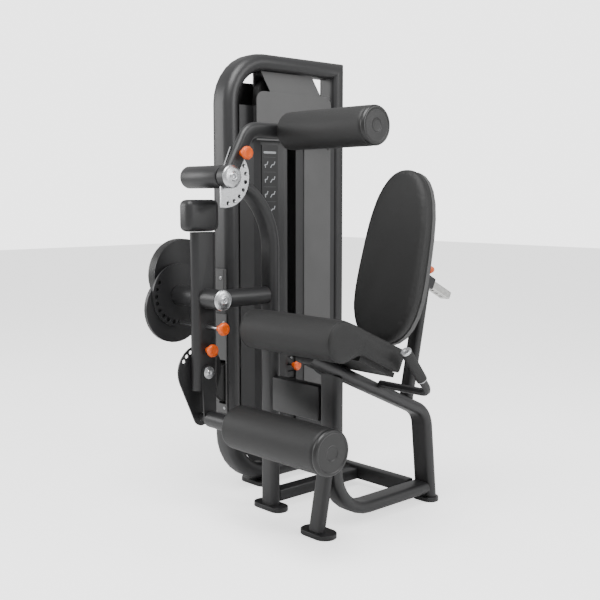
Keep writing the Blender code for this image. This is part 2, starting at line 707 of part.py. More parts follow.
def pull_pins(start_pivot, link_pin_pivot, thigh_pin_pivot):
    """The three spring pins, each one turned piece of pin, collar and orange knob."""
    near = LEVER_X + LEVER_TUBE[0] / 2
    start_tip = CAM_PLATE_X + CAM_PLATE_T / 2 + PIN_GAP
    stem = near + 0.060 - start_tip
    piece(turned(knob_profile(stem), start_tip, HUB_Y, HUB_Z - PIN_CIRCLE, 20), "start_pin",
          ORANGE, start_pivot)
    link_tip = LEVER_X - LEVER_TUBE[0] / 2 + PIN_GAP
    piece(turned(knob_profile(near + 0.002 - link_tip), link_tip, HUB_Y,
                 LINK_Z + LINK_PIN_CIRCLE, 20), "link_pin", ORANGE, link_pin_pivot)
    thigh_tip = POST_X + POST_TUBE[0] / 2 + GAP + QUADRANT_T + PIN_GAP
    y, z = around(THIGH_Y, THIGH_Z, THIGH_PIN_CIRCLE, ARM_ANGLE)
    piece(turned(knob_profile(ARM_X + ARM_TUBE[0] / 2 + 0.002 - thigh_tip), thigh_tip, y, z, 20),
          "thigh_pin", ORANGE, thigh_pin_pivot)


def tangent_outline(y1, z1, r1, y2, z2, r2):
    """Outline round two circles, the first above the second, joined by their tangents."""
    along = math.atan2(z2 - z1, y2 - y1)
    spread = math.acos((r1 - r2) / math.hypot(y2 - y1, z2 - z1))
    first = [along + spread + (2 * math.pi - 2 * spread) * k / 16 for k in range(17)]
    second = [along - spread + 2 * spread * k / 10 for k in range(11)]
    return ([Vector((y1 + r1 * math.cos(a), z1 + r1 * math.sin(a))) for a in first]
            + [Vector((y2 + r2 * math.cos(a), z2 + r2 * math.sin(a))) for a in second])


def link(pivot, roller_pivot):
    """The two link plates under the lever, their cross shaft, the roller and its end cap."""
    back = LEVER_X - LEVER_TUBE[0] / 2 - GAP
    face = LEVER_X + LEVER_TUBE[0] / 2 + GAP
    shaft_hole = hole(ROLLER_Y, ROLLER_Z, ROLLER_SHAFT_R + GAP, 16)
    bolt_hole = hole(HUB_Y, LINK_Z, BOLT_R + GAP, 16)
    holes = [hole(*around(HUB_Y, LINK_Z, LINK_PIN_CIRCLE, 90 + 15 * k), PIN_R + RUN)
             for k in range(-3, 5)]
    outer = plate(back - LINK_T, back,
                  tangent_outline(HUB_Y, LINK_Z, 0.086, ROLLER_Y, ROLLER_Z, 0.030),
                  [shaft_hole, bolt_hole, *holes])
    piece(outer, "link_plate_outer", COAT, pivot)
    inner = plate(face, face + LINK_T,
                  tangent_outline(HUB_Y, LINK_Z, 0.026, ROLLER_Y, ROLLER_Z, 0.024),
                  [shaft_hole, bolt_hole])
    piece(inner, "link_plate_inner", COAT, pivot)
    low, high = LOW_ROLLER_X
    shaft_low = back - LINK_T - 0.006
    step_x = face + LINK_T + GAP
    shaft = rod_x(shaft_low, high + 0.004, ROLLER_Y, ROLLER_Z, ROLLER_SHAFT_R, 20)
    join(shaft, rod_x(step_x, low - 0.002, ROLLER_Y, ROLLER_Z, 0.026, 20))
    piece(shaft, "roller_shaft", COAT, pivot)
    roller("lower_roller", roller_pivot, low, high, ROLLER_Y, ROLLER_Z, LOW_ROLLER_R,
           ROLLER_SHAFT_R + RUN)


def roller(name, pivot, low, high, y, z, radius, eye):
    """A foam roller on its shaft, with the plastic cap that closes its outer end."""
    length = high - low
    edge = 0.008
    foam = [(radius, edge), (radius - edge, 0), (eye, 0), (eye, length), (radius - edge, length),
            (radius, length - edge)]
    piece(turned(foam, low, y, z, 32), name, FOAM, pivot)
    cap = [(0, CAP_T + 0.006), (radius * 0.40, CAP_T + 0.006), (radius * 0.43, CAP_T),
           (radius - 0.006, CAP_T - 0.002), (radius - 0.001, CAP_T - 0.006), (radius - 0.001, 0),
           (eye, 0), (eye, 0.006), (0, 0.006)]
    piece(turned(cap, high + GAP, y, z, 32), name + "_cap", PLASTIC, pivot)


def thigh_arm(pivot, roller_pivot):
    """The bent arm on the thigh pivot, its bright cap, and the roller on its end."""
    width, deep = ARM_TUBE
    path = rounded([(THIGH_Y, THIGH_Z, 0), (ARM_BEND_Y, ARM_TOP_Z, 0.050),
                    (ARM_END_Y, ARM_TOP_Z, 0)], steps=6)
    arm = oval_tube(ARM_X, path, width, deep)
    low, high = ARM_X - width / 2, ARM_X + width / 2
    join(arm, rod_x(low, high, THIGH_Y, THIGH_Z, SLEEVE_R, 28))
    join(arm, rod_x(low, high, ARM_END_Y, ARM_TOP_Z, deep / 2, 24))
    join(arm, rod_x(ARM_X, HIGH_ROLLER_X[1] + 0.004, ARM_END_Y, ARM_TOP_Z, ROLLER_SHAFT_R, 20))
    pin_y, pin_z = around(THIGH_Y, THIGH_Z, THIGH_PIN_CIRCLE, ARM_ANGLE)
    cut(arm, bore_x(low - 0.01, high + 0.01, pin_y, pin_z, PIN_R + RUN))
    piece(arm, "thigh_arm", COAT, pivot)
    cap = [(0, 0.014), (0.010, 0.014), (0.011, 0.010), (0.026, 0.008), (0.0365, 0.003),
           (0.0365, 0), (0, 0)]
    piece(turned(cap, high + GAP, THIGH_Y, THIGH_Z, 28), "thigh_cap", STEEL, pivot)
    roller("upper_roller", roller_pivot, *HIGH_ROLLER_X, ARM_END_Y, ARM_TOP_Z, HIGH_ROLLER_R,
           ROLLER_SHAFT_R + RUN)


# Seat, backrest and handles -------------------------------------------------

def side_profile(points, x, width, bevel):
    """A block whose side outline lies in the YZ plane, with rounded side edges."""
    made = plate(x - width / 2, x + width / 2, points)
    edge = made.modifiers.new("edge", "BEVEL")
    edge.width = bevel
    edge.segments = 2
    edge.limit_method = "ANGLE"
    edge.angle_limit = math.radians(50)
    return made


def seat():
    """The seat pad with its raised front roll, and the board it is screwed to."""
    base = FRAME_TUBE[1] / 2 + BOARD_LIFT + BOARD_T + GAP
    top = base + SEAT_T
    sine, cosine = math.sin(RAIL_SLOPE), math.cos(RAIL_SLOPE)
    roll_front = [Vector(around(ROLL_Y, ROLL_Z, ROLL_R, a)) for a in range(80, 281, 20)]
    end_low = (SEAT_END_Y - SEAT_T * sine, rail_z(SEAT_END_Y, top) - SEAT_T * cosine)
    base_start = ROLL_Y + 0.075
    outline = [*roll_front, Vector((base_start, rail_z(base_start, base))), Vector(end_low),
               Vector((SEAT_END_Y, rail_z(SEAT_END_Y, top))),
               Vector((ROLL_Y + 0.050, rail_z(ROLL_Y + 0.050, top)))]
    piece(side_profile(outline, SEAT_X, SEAT_W, 0.012), "seat_cushion", LEATHER)
    front, back = ROLL_Y + 0.085, end_low[0]
    middle = (front + back) / 2
    lift = FRAME_TUBE[1] / 2 + BOARD_LIFT + BOARD_T / 2
    piece(box((SEAT_X, middle, rail_z(middle, lift)),
              (SEAT_W - 0.05, (back - front) / cosine - 0.01, BOARD_T), tilt=-RAIL_SLOPE),
          "seat_board", BOARD)


def pad_outline(inset=0.0):
    """Front outline of the back pad, (x, height along the pad): a tall oval, narrower on top."""
    shares = (0.008, 0.025, 0.06, 0.11, 0.18, 0.27, 0.38, 0.50, 0.62, 0.73, 0.82, 0.89, 0.94,
              0.975, 0.992)
    side = []
    for share in shares:
        oval = (1 - abs(2 * share - 1) ** 3.2) ** 0.4545
        width = BACK_LOW_W + (BACK_TOP_W - BACK_LOW_W) * share
        side.append((width / 2 * oval - inset, inset + share * (BACK_L - 2 * inset)))
    return ([Vector((SEAT_X + x, z)) for x, z in side]
            + [Vector((SEAT_X - x, z)) for x, z in reversed(side)])


def back_panel(outline, thickness, behind):
    """A panel with a given front outline, leaning back with the pad, behind its middle plane."""
    made = spline_curve("panel", [outline], True)
    made.data.fill_mode = "BOTH"
    made.data.extrude = thickness / 2
    made.location = (0, BACK_Y + behind * math.cos(BACK_TILT), BACK_Z - behind * math.sin(BACK_TILT))
    made.rotation_euler = (math.pi / 2 - BACK_TILT, 0, 0)
    return meshed(made)


def backrest(pivot, pin_pivot):
    """The back pad and its board on the bright slide bar, the bar's sleeve, and its support."""
    pad = back_panel(pad_outline(), BACK_T, 0)
    edge = pad.modifiers.new("edge", "BEVEL")
    edge.width = 0.012
    edge.segments = 2
    edge.limit_method = "ANGLE"
    edge.angle_limit = math.radians(60)
    piece(pad, "back_cushion", LEATHER, pivot)
    board_at = BACK_T / 2 + BACK_BOARD_T / 2 + GAP
    piece(back_panel(pad_outline(0.006), BACK_BOARD_T, board_at),
          "back_board", PANEL, pivot)
    cos, sin = math.cos(BAR_SLOPE), math.sin(BAR_SLOPE)
    reach_front, reach_back = 0.128, 0.135
    bar_mid = (reach_back - reach_front) / 2
    bar = box((SEAT_X, BAR_Y + bar_mid * cos, BAR_Z - bar_mid * sin),
              (BAR_SIZE[0], reach_front + reach_back, BAR_SIZE[1]), 0.002, tilt=-BAR_SLOPE,
              segments=1)
    board_back = BACK_T / 2 + BACK_BOARD_T + 2 * GAP
    wall = box((SEAT_X, BACK_Y, BACK_Z), (0.3, 2 * board_back, 1.4), tilt=0.0)
    wall.rotation_euler.x = -BACK_TILT
    cut(bar, wall)
    for k in range(5):
        along = PIN_ALONG + 0.026 * k
        y, z = BAR_Y + along * cos, BAR_Z - along * sin
        cut(bar, bore((SEAT_X, y - 0.03 * sin, z - 0.03 * cos),
                      (SEAT_X, y + 0.03 * sin, z + 0.03 * cos), PIN_R + RUN, 12))
    piece(bar, "slide_bar", STEEL, pivot)
    inner = (BAR_SIZE[0] + 2 * RUN, 0.2, BAR_SIZE[1] + 2 * RUN)
    outer = (BAR_SIZE[0] + 2 * SLEEVE_WALL, 0.060, BAR_SIZE[1] + 2 * SLEEVE_WALL)
    sleeve = box((SEAT_X, BAR_Y, BAR_Z), outer, 0.003, tilt=-BAR_SLOPE, segments=1)
    support_foot = SUPPORT_Y
    support = oval_tube(SEAT_X, [Vector((support_foot, rail_z(support_foot) - 0.01)),
                                 Vector((BAR_Y - 0.004, BAR_Z - 0.012))], 0.050, 0.034)
    join(support, sleeve)
    cut(support, box((SEAT_X, BAR_Y, BAR_Z), inner, tilt=-BAR_SLOPE))
    y, z = BAR_Y + PIN_ALONG * cos, BAR_Z - PIN_ALONG * sin
    cut(support, bore((SEAT_X, y, z), (SEAT_X, y + 0.04 * sin, z + 0.04 * cos), PIN_R + RUN))
    depth = FRAME_TUBE[1] / 2 + GAP - 0.05
    cut(support, box((SEAT_X, support_foot, rail_z(support_foot, depth)), (0.3, 0.3, 0.1),
                     tilt=-RAIL_SLOPE))
    piece(support, "back_support", COAT)
    tip = BAR_SIZE[1] / 2 + PIN_GAP
    stem = BAR_SIZE[1] / 2 + SLEEVE_WALL + 0.001 - tip
    pin = turned(knob_profile(stem), 0, 0, 0, 20)
    pin.location = (SEAT_X, y + tip * sin, z + tip * cos)
    pin.rotation_euler = (-BAR_SLOPE, 0, 0)
    piece(pin, "backrest_pin", ORANGE, pin_pivot)


def handles():
    """A bent hand rail each side of the seat, with its grip and end cap in one sleeve."""
    start_x, side_x = FRAME_TUBE[0] / 2 + GAP, HANDLE_X
    low, high = Vector((side_x, *HANDLE_LOW)), Vector((side_x, *HANDLE_HIGH))
    bend = 0.034
    for side, name in ((1, "left"), (-1, "right")):
        corner_in = Vector((side_x - bend, low.y, low.z))
        corner_out = low + (high - low).normalized() * bend
        arc = [corner_in.lerp(low, t).lerp(low.lerp(corner_out, t), t)
               for t in (k / 6 for k in range(7))]
        line = [Vector((start_x, low.y, low.z)), *arc, high]
        curve = bpy.data.curves.new("handle", "CURVE")
        curve.dimensions = "3D"
        spline = curve.splines.new("POLY")
        spline.points.add(len(line) - 1)
        for point, place in zip(spline.points, line):
            point.co = (SEAT_X + side * place.x, place.y, place.z, 1)
        curve.bevel_depth = HANDLE_R
        curve.bevel_resolution = 2
        curve.use_fill_caps = True
        made = bpy.data.objects.new("handle", curve)
        bpy.context.scene.collection.objects.link(made)
        piece(meshed(made), f"handle_{name}", COAT)
        ends = [Vector((SEAT_X + side * p.x, p.y, p.z)) for p in (low.lerp(high, 0.34), high)]
        run = (ends[1] - ends[0]).normalized()
        grip = rod(ends[0], ends[1] + run * 0.010, 0.0175, 20, 0.003)
        cut(grip, bore(ends[0] - run * 0.01, ends[1] + run * GAP, HANDLE_R + GAP))
        piece(grip, f"grip_{name}", FOAM)


# Weights and belt drive inside the tower --------------------------------------

def stack_block(name, first, count, stem, pivot=None):
    """Some plates of the stack as one block with grooves between them, bored for the rods."""
    size_x, size_y, size_z = PLATE_SIZE
    low = STACK_LOW_Z + first * PLATE_STEP
    made = box((BELT_X, STACK_Y, low + size_z / 2), PLATE_SIZE, 0.002, segments=1)
    for k in range(1, count):
        join(made, box((BELT_X, STACK_Y, low + k * PLATE_STEP + size_z / 2), PLATE_SIZE, 0.002,
                       segments=1))
    high = low + (count - 1) * PLATE_STEP + size_z
    join(made, box((BELT_X, STACK_Y, (low + high) / 2), (size_x - 0.010, size_y - 0.010,
                                                         high - low - 0.004)))
    if stem:
        join(made, rod((BELT_X, STACK_Y, high - 0.002), (BELT_X, STACK_Y, high + 0.050), 0.012, 16))
    for side in (-1, 1):
        y = STACK_Y + side * ROD_OFFSET
        cut(made, bore((BELT_X, y, low - 0.01), (BELT_X, y, high + 0.01), ROD_R + RUN))
    piece(made, name, IRON, pivot)
    return low, high


def weights(pivot, selector_pivot):
    """The resting and the lifted plates, the guide rods and the selector pin."""
    stack_block("resting_plates", 0, RESTING, False)
    low, high = stack_block("lifted_plates", RESTING, LIFTED, True, pivot)
    rod_low = TOWER_LOW_Z + TOWER_TUBE[1] / 2 + 0.005
    for side, name in ((-1, "front"), (1, "rear")):
        y = STACK_Y + side * ROD_OFFSET
        piece(rod((BELT_X, y, rod_low), (BELT_X, y, ROD_TOP_Z), ROD_R, 16), f"guide_rod_{name}",
              STEEL)
    face = BELT_X + PLATE_SIZE[0] / 2 + 0.001
    knob = [(0, 0.050), (0.013, 0.050), (0.018, 0.044), (0.018, 0.030), (0.009, 0.024),
            (0.006, 0.020), (0.006, 0), (0, 0)]
    piece(turned(knob, face, STACK_Y, (low + high) / 2, 20), "selector_pin", ORANGE,
          selector_pivot)


def belt():
    """The flat belt: round the cam, under the slot's pulley, up the tower and down to the stack."""
    wrap = CAM_R + 0.001 + BELT_T / 2
    over = [around(CAM_Y, CAM_Z, wrap, a) for a in range(200, -1, -10)]
    under = [around(GUIDE_Y, GUIDE_Z, GUIDE_R, a) for a in range(180, 366, 15)]
    lean = 175
    top = [around(TOP_Y, TOP_Z, TOP_R, a) for a in (lean, *range(165, -1, -15))]
    stack_top = STACK_LOW_Z + (RESTING + LIFTED - 1) * PLATE_STEP + PLATE_SIZE[2] + 0.050 + GAP
    route = [*over, *under, *top, (STACK_Y, stack_top)]
    made = spline_curve("belt", [[Vector(p) for p in route]], False)
    section = spline_curve("belt_section", [[
        Vector((BELT_T / 2, -BELT_W / 2)), Vector((BELT_T / 2, BELT_W / 2)),
        Vector((-BELT_T / 2, BELT_W / 2)), Vector((-BELT_T / 2, -BELT_W / 2))]], True)
    section.data.fill_mode = "NONE"
    section.hide_render = True
    section.display_type = "WIRE"
    into(section, cutters)
    made.data.fill_mode = "NONE"
    made.data.bevel_mode = "OBJECT"
    made.data.bevel_object = section
    made.data.use_fill_caps = True
    made.location.x = BELT_X
    made.rotation_euler = (math.pi / 2, 0, math.pi / 2)
    piece(meshed(made), "drive_belt", RUBBER)


def pulleys(guide_pivot, top_pivot):
    """The pulley in the tower's slot on its axle, the top pulley, and the bracket that holds it."""
    half = (BELT_W + 0.002) / 2
    rim = GUIDE_R - 0.001 - BELT_T / 2
    axle = AXLE_R
    reach_low, reach_high = BELT_X - half - 0.010, BELT_X + half + 0.010
    width = reach_high - reach_low
    profile = [(0, width), (axle, width), (axle, 0.010 + 2 * half), (rim, 0.010 + 2 * half),
               (rim, 0.010), (axle, 0.010), (axle, 0), (0, 0)]
    piece(turned(profile, reach_low, GUIDE_Y, GUIDE_Z, 32), "guide_pulley", PLASTIC, guide_pivot)
    rim = TOP_R - 0.001 - BELT_T / 2
    eye = axle + RUN
    profile = [(rim, 2 * half), (rim, 0), (eye, 0), (eye, 2 * half)]
    piece(turned(profile, BELT_X - half, TOP_Y, TOP_Z, 32), "top_pulley", PLASTIC, top_pivot)
    side = BELT_X - half - 0.002
    high = TOWER_TOP_Z - TOWER_TUBE[1] / 2 + 0.002
    flange_z, flange_t = ROD_TOP_Z - 0.008, 0.006
    front, back = STACK_Y - ROD_OFFSET - 0.018, STACK_Y + ROD_OFFSET + 0.018
    bracket = box((side - 0.003, (front + back) / 2, (flange_z + high) / 2),
                  (0.006, back - front, high - flange_z))
    reach = BELT_X + 0.018 - side
    join(bracket, box((side + (reach - 0.003) / 2, (front + back) / 2, flange_z),
                      (reach + 0.003, back - front, flange_t)))
    join(bracket, rod_x(side - 0.004, BELT_X + half + 0.004, TOP_Y, TOP_Z, axle, 12))
    cut(bracket, box((BELT_X, STACK_Y, flange_z), (BELT_W + 0.003, 0.012, 0.02)))
    for y in (STACK_Y - ROD_OFFSET, STACK_Y + ROD_OFFSET):
        cut(bracket, bore((BELT_X, y, flange_z - 0.02), (BELT_X, y, flange_z + 0.02), ROD_R + GAP))
    piece(cut(bracket, tower_loop(GAP)), "pulley_bracket", COAT)


# Assembly -------------------------------------------------------------------

hub_pivot = pivot_at("hub_axis", 0, HUB_Y, HUB_Z)
lever_pivot = pivot_at("lever_axis", LEVER_X, HUB_Y, HUB_Z)
start_pin_pivot = pivot_at("start_pin_axis", LEVER_X, HUB_Y, HUB_Z - PIN_CIRCLE)
link_axis = pivot_at("link_axis", LEVER_X, HUB_Y, LINK_Z)
link_pin_axis = pivot_at("link_pin_axis", LEVER_X, HUB_Y, LINK_Z + LINK_PIN_CIRCLE)
lower_roller_axis = pivot_at("lower_roller_axis", SEAT_X, ROLLER_Y, ROLLER_Z)
thigh_axis = pivot_at("thigh_axis", ARM_X, THIGH_Y, THIGH_Z)
thigh_pin_axis = pivot_at("thigh_pin_axis", ARM_X, *around(THIGH_Y, THIGH_Z, THIGH_PIN_CIRCLE,
                                                          ARM_ANGLE))
upper_roller_axis = pivot_at("upper_roller_axis", SEAT_X, ARM_END_Y, ARM_TOP_Z)
backrest_axis = pivot_at("backrest_slide", SEAT_X, BAR_Y, BAR_Z)
backrest_pin_axis = pivot_at("backrest_pin_axis", SEAT_X, BAR_Y, BAR_Z)
weight_axis = pivot_at("weight_slide", BELT_X, STACK_Y, STACK_LOW_Z)
selector_axis = pivot_at("selector_axis", BELT_X, STACK_Y, STACK_LOW_Z)
guide_axis = pivot_at("guide_pulley_axis", BELT_X, GUIDE_Y, GUIDE_Z)
top_axis = pivot_at("top_pulley_axis", BELT_X, TOP_Y, TOP_Z)

tower()
shrouds()
hood()
front_covers()
seat_frame()
cross_members()
cane_post()
pivot_tubes()
quadrant()
cam(hub_pivot)
lever(lever_pivot, link_axis)
pull_pins(start_pin_pivot, link_pin_axis, thigh_pin_axis)
link(link_axis, lower_roller_axis)
thigh_arm(thigh_axis, upper_roller_axis)
seat()
backrest(backrest_axis, backrest_pin_axis)
handles()
weights(weight_axis, selector_axis)
belt()
pulleys(guide_axis, top_axis)
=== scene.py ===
import json
import math

import bmesh
import bpy
import numpy as np
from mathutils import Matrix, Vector
from mathutils.bvhtree import BVHTree


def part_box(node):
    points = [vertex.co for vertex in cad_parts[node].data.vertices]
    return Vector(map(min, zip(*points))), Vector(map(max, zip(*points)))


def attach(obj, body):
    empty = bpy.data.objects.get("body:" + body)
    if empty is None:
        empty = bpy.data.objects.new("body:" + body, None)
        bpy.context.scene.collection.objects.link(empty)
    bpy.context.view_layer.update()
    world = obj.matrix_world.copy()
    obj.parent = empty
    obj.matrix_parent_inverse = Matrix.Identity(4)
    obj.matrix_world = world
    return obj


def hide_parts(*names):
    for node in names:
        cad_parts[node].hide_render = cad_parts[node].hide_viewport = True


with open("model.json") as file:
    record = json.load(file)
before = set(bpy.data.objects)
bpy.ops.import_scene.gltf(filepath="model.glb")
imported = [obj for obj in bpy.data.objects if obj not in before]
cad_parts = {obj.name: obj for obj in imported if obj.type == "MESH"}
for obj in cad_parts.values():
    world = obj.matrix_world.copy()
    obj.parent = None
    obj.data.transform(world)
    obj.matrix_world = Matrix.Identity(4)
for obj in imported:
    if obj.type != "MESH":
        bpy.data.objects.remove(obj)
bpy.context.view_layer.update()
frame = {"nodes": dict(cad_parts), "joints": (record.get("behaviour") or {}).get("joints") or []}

nodes = frame["nodes"]
joint = {j["name"]: j for j in frame["joints"]}


# --- The studio ---------------------------------------------------------------
# A pale paper floor that runs on to the horizon, one large soft light over the machine and
# two dimmer ones at its sides. The camera stands at the user's front left, at chest height.

def linear(code):
    """An sRGB hex colour as linear RGBA."""
    part = np.array([int(code[k:k + 2], 16) for k in (0, 2, 4)]) / 255
    part = np.where(part <= 0.04045, part / 12.92, ((part + 0.055) / 1.055) ** 2.4)
    return (*part.tolist(), 1.0)


def add(tree, kind, links=(), **settings):
    """Adds a node, with its settings and with links or values for its sockets."""
    made = tree.nodes.new(kind)
    for key, value in settings.items():
        setattr(made, key, value)
    for socket, value in dict(links).items():
        if isinstance(value, bpy.types.NodeSocket):
            tree.links.new(value, made.inputs[socket])
        else:
            made.inputs[socket].default_value = value
    return made


def finish(name, colour, roughness, metallic=0.0, **sockets):
    """A named material with its Principled shader's plain values; returns it with its tree."""
    made = bpy.data.materials.new(name)
    made.use_nodes = True
    shader = made.node_tree.nodes["Principled BSDF"]
    shader.inputs["Base Color"].default_value = linear(colour)
    shader.inputs["Roughness"].default_value = roughness
    shader.inputs["Metallic"].default_value = metallic
    for key, value in sockets.items():
        shader.inputs[key.replace("_", " ")].default_value = value
    return made, made.node_tree, shader


floor_mesh = bpy.data.meshes.new("studio_floor")
corner = 15.0  # metres from the machine to the floor's edge
floor_mesh.from_pydata([(-corner, -corner, 0), (corner, -corner, 0), (corner, corner, 0),
                        (-corner, corner, 0)], [], [(0, 1, 2, 3)])
floor = bpy.data.objects.new("studio_floor", floor_mesh)
bpy.context.scene.collection.objects.link(floor)
paper, paper_tree, paper_shader = finish("matte_studio_paper", "fbfbfb", 0.85)
floor_mesh.materials.append(paper)
seen = add(paper_tree, "ShaderNodeLightPath").outputs["Is Camera Ray"]
paper_glow = add(paper_tree, "ShaderNodeMapRange", {"Value": seen, "To Max": 1.3})
paper_shader.inputs["Emission Color"].default_value = linear("ffffff")
paper_tree.links.new(paper_glow.outputs["Result"], paper_shader.inputs["Emission Strength"])

world = bpy.data.worlds.new("studio_air")
bpy.context.scene.world = world
world.use_nodes = True
sky = world.node_tree.nodes["Background"]
sky.inputs["Color"].default_value = linear("ffffff")
seen = add(world.node_tree, "ShaderNodeLightPath").outputs["Is Camera Ray"]
haze = add(world.node_tree, "ShaderNodeMapRange", {"Value": seen, "To Min": 0.75, "To Max": 3.2})
world.node_tree.links.new(haze.outputs["Result"], sky.inputs["Strength"])

for name, place, aim, size, power in (
        ("overhead_light", (0.6, -1.2, 3.6), (0.0, 0.0, 0.6), 2.0, 150),
        ("left_light", (-3.4, -2.6, 1.9), (-0.2, 0.0, 0.8), 1.8, 70),
        ("right_light", (3.2, 1.4, 2.2), (0.0, 0.1, 0.7), 1.8, 80)):
    lamp = bpy.data.lights.new(name, "AREA")
    lamp.size = size
    lamp.energy = power
    holder = bpy.data.objects.new(name, lamp)
    holder.location = place
    holder.rotation_euler = (Vector(aim) - Vector(place)).to_track_quat("-Z", "Y").to_euler()
    bpy.context.scene.collection.objects.link(holder)

lens = bpy.data.cameras.new("camera")
lens.lens = 56.3
lens.sensor_width = 36.0
camera = bpy.data.objects.new("camera", lens)
camera.location = (2.208, -2.125, 1.05)
camera.rotation_euler = (math.radians(90 - 6.36), 0, math.radians(47.19))
bpy.context.scene.collection.objects.link(camera)
bpy.context.scene.camera = camera


# --- Frame tubes ----------------------------------------------------------------
# The tower, the posts, the seat frame and the lever are bent flat-oval steel tube, welded,
# blasted and powder coated in dark charcoal: a fine even grain that dulls each highlight.

def powder_coat(name, colour, roughness):
    """Baked powder: its grain is about 0.8 mm across, drawn at 2 mm so that it shows."""
    made, tree, shader = finish(name, colour, roughness)
    place = add(tree, "ShaderNodeTexCoord").outputs["Object"]
    grain = add(tree, "ShaderNodeTexNoise", {"Vector": place, "Scale": 480.0, "Detail": 3.0,
                                             "Roughness": 0.6})
    cloud = add(tree, "ShaderNodeTexNoise", {"Vector": place, "Scale": 5.0, "Detail": 4.0})
    tint = add(tree, "ShaderNodeMapRange", {"Value": cloud.outputs["Fac"], "From Min": 0.3,
                                            "From Max": 0.7, "To Min": 0.90, "To Max": 1.10})
    base = add(tree, "ShaderNodeRGB")
    base.outputs[0].default_value = linear(colour)
    coloured = add(tree, "ShaderNodeVectorMath", {0: base.outputs[0], 1: tint.outputs["Result"]},
                   operation="MULTIPLY")
    tree.links.new(coloured.outputs[0], shader.inputs["Base Color"])
    dull = add(tree, "ShaderNodeMapRange", {"Value": grain.outputs["Fac"], "To Min": roughness - 0.06,
                                            "To Max": roughness + 0.08})
    tree.links.new(dull.outputs["Result"], shader.inputs["Roughness"])
    bump = add(tree, "ShaderNodeBump", {"Height": grain.outputs["Fac"], "Strength": 0.25,
                                        "Distance": 0.0006})
    tree.links.new(bump.outputs["Normal"], shader.inputs["Normal"])
    return made


def weld_and_smooth():
    """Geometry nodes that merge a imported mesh's loose triangles and shade it smooth up to 32
    degrees, so that round tube reads as round and folded edges stay crisp."""
    group = bpy.data.node_groups.new("weld_and_smooth", "GeometryNodeTree")
    group.interface.new_socket("Geometry", in_out="INPUT", socket_type="NodeSocketGeometry")
    group.interface.new_socket("Geometry", in_out="OUTPUT", socket_type="NodeSocketGeometry")
    start, end = add(group, "NodeGroupInput"), add(group, "NodeGroupOutput")
    merged = add(group, "GeometryNodeMergeByDistance", {"Geometry": start.outputs[0],
                                                        "Distance": 0.00002})
    smooth = add(group, "GeometryNodeSetShadeSmooth", {"Geometry": merged.outputs[0]},
                 domain="FACE")
    angle = add(group, "GeometryNodeInputMeshEdgeAngle")
    sharp = add(group, "FunctionNodeCompare", {0: angle.outputs[0], 1: math.radians(32)},
                operation="GREATER_THAN")
    crisp = add(group, "GeometryNodeSetShadeSmooth",
                {"Geometry": smooth.outputs[0], "Selection": sharp.outputs[0],
                 "Shade Smooth": False}, domain="EDGE")
    group.links.new(crisp.outputs[0], end.inputs[0])
    return group


smoother = weld_and_smooth()


def dress(material, *names):
    """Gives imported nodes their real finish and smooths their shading."""
    for name in names:
        nodes[name].data.materials.clear()
        nodes[name].data.materials.append(material)
        rounding = nodes[name].modifiers.new("weld_and_smooth", "NODES")
        rounding.node_group = smoother


charcoal = powder_coat("charcoal_powder_coat", "1d1d1e", 0.42)
dress(charcoal, "tower_frame", "tower_foot_front", "tower_foot_rear", "seat_rail", "seat_post",
      "front_foot", "rear_foot", "cross_beam", "floor_rails", "cane_post", "thigh_sleeve",
      "pivot_housing", "thigh_arm", "back_support", "pulley_bracket", "lever_tube",
      "balance_weight", "roller_shaft")


# --- Tower shrouds and hood ---------------------------------------------------
# Folded 2 mm sheet closes the tower's sides. The access panel, the hood plate and the front
# cover are coated a lighter grey, and button-head screws hold them.

slate = powder_coat("slate_powder_coat", "1c1c1d", 0.46)
grey = powder_coat("grey_powder_coat", "444444", 0.5)
dress(slate, "front_shroud", "rear_shroud", "far_shroud")
dress(grey, "access_panel", "hood", "belt_guard", "front_cover")


def surface(name, points, wrap=(False, False)):
    """A mesh on a grid of points, an array of rows x columns x 3. Each cell is a quad, and a
    wrapped direction joins its last line to its first. Poles are merged and normals point out."""
    rows, columns = points.shape[:2]
    i, j = np.meshgrid(np.arange(rows - (not wrap[0])), np.arange(columns - (not wrap[1])),
                       indexing="ij")
    below, right = (i + 1) % rows, (j + 1) % columns
    quads = np.stack([i * columns + j, below * columns + j, below * columns + right,
                      i * columns + right], axis=-1).reshape(-1, 4)
    mesh = bpy.data.meshes.new(name)
    mesh.from_pydata(points.reshape(-1, 3), [], quads.tolist())
    work = bmesh.new()
    work.from_mesh(mesh)
    bmesh.ops.remove_doubles(work, verts=work.verts, dist=1e-6)
    bmesh.ops.recalc_face_normals(work, faces=work.faces)
    work.to_mesh(mesh)
    work.free()
    mesh.shade_smooth()
    made = bpy.data.objects.new(name, mesh)
    bpy.context.scene.collection.objects.link(made)
    return made


def eased(corners, radius, steps=4):
    """A line of 2-D or 3-D points whose inner corners are eased by a parabola of that reach."""
    corners = np.asarray(corners, float)
    t = np.linspace(0, 1, steps + 1)[:, None]
    line = [corners[:1]]
    for before, here, after in zip(corners, corners[1:], corners[2:]):
        reach_in = min(radius, np.linalg.norm(before - here) * 0.45)
        reach_out = min(radius, np.linalg.norm(after - here) * 0.45)
        a = here + (before - here) / np.linalg.norm(before - here) * reach_in
        b = here + (after - here) / np.linalg.norm(after - here) * reach_out
        line.append((1 - t) ** 2 * a + 2 * t * (1 - t) * here + t ** 2 * b)
    line.append(corners[-1:])
    return np.concatenate(line)


def across(axis):
    """Two unit vectors square to an axis and to each other."""
    axis = np.asarray(axis, float) / np.linalg.norm(axis)
    first = np.cross(axis, (0, 0, 1.0) if abs(axis[2]) < 0.9 else (1.0, 0, 0))
    first /= np.linalg.norm(first)
    return axis, first, np.cross(axis, first)


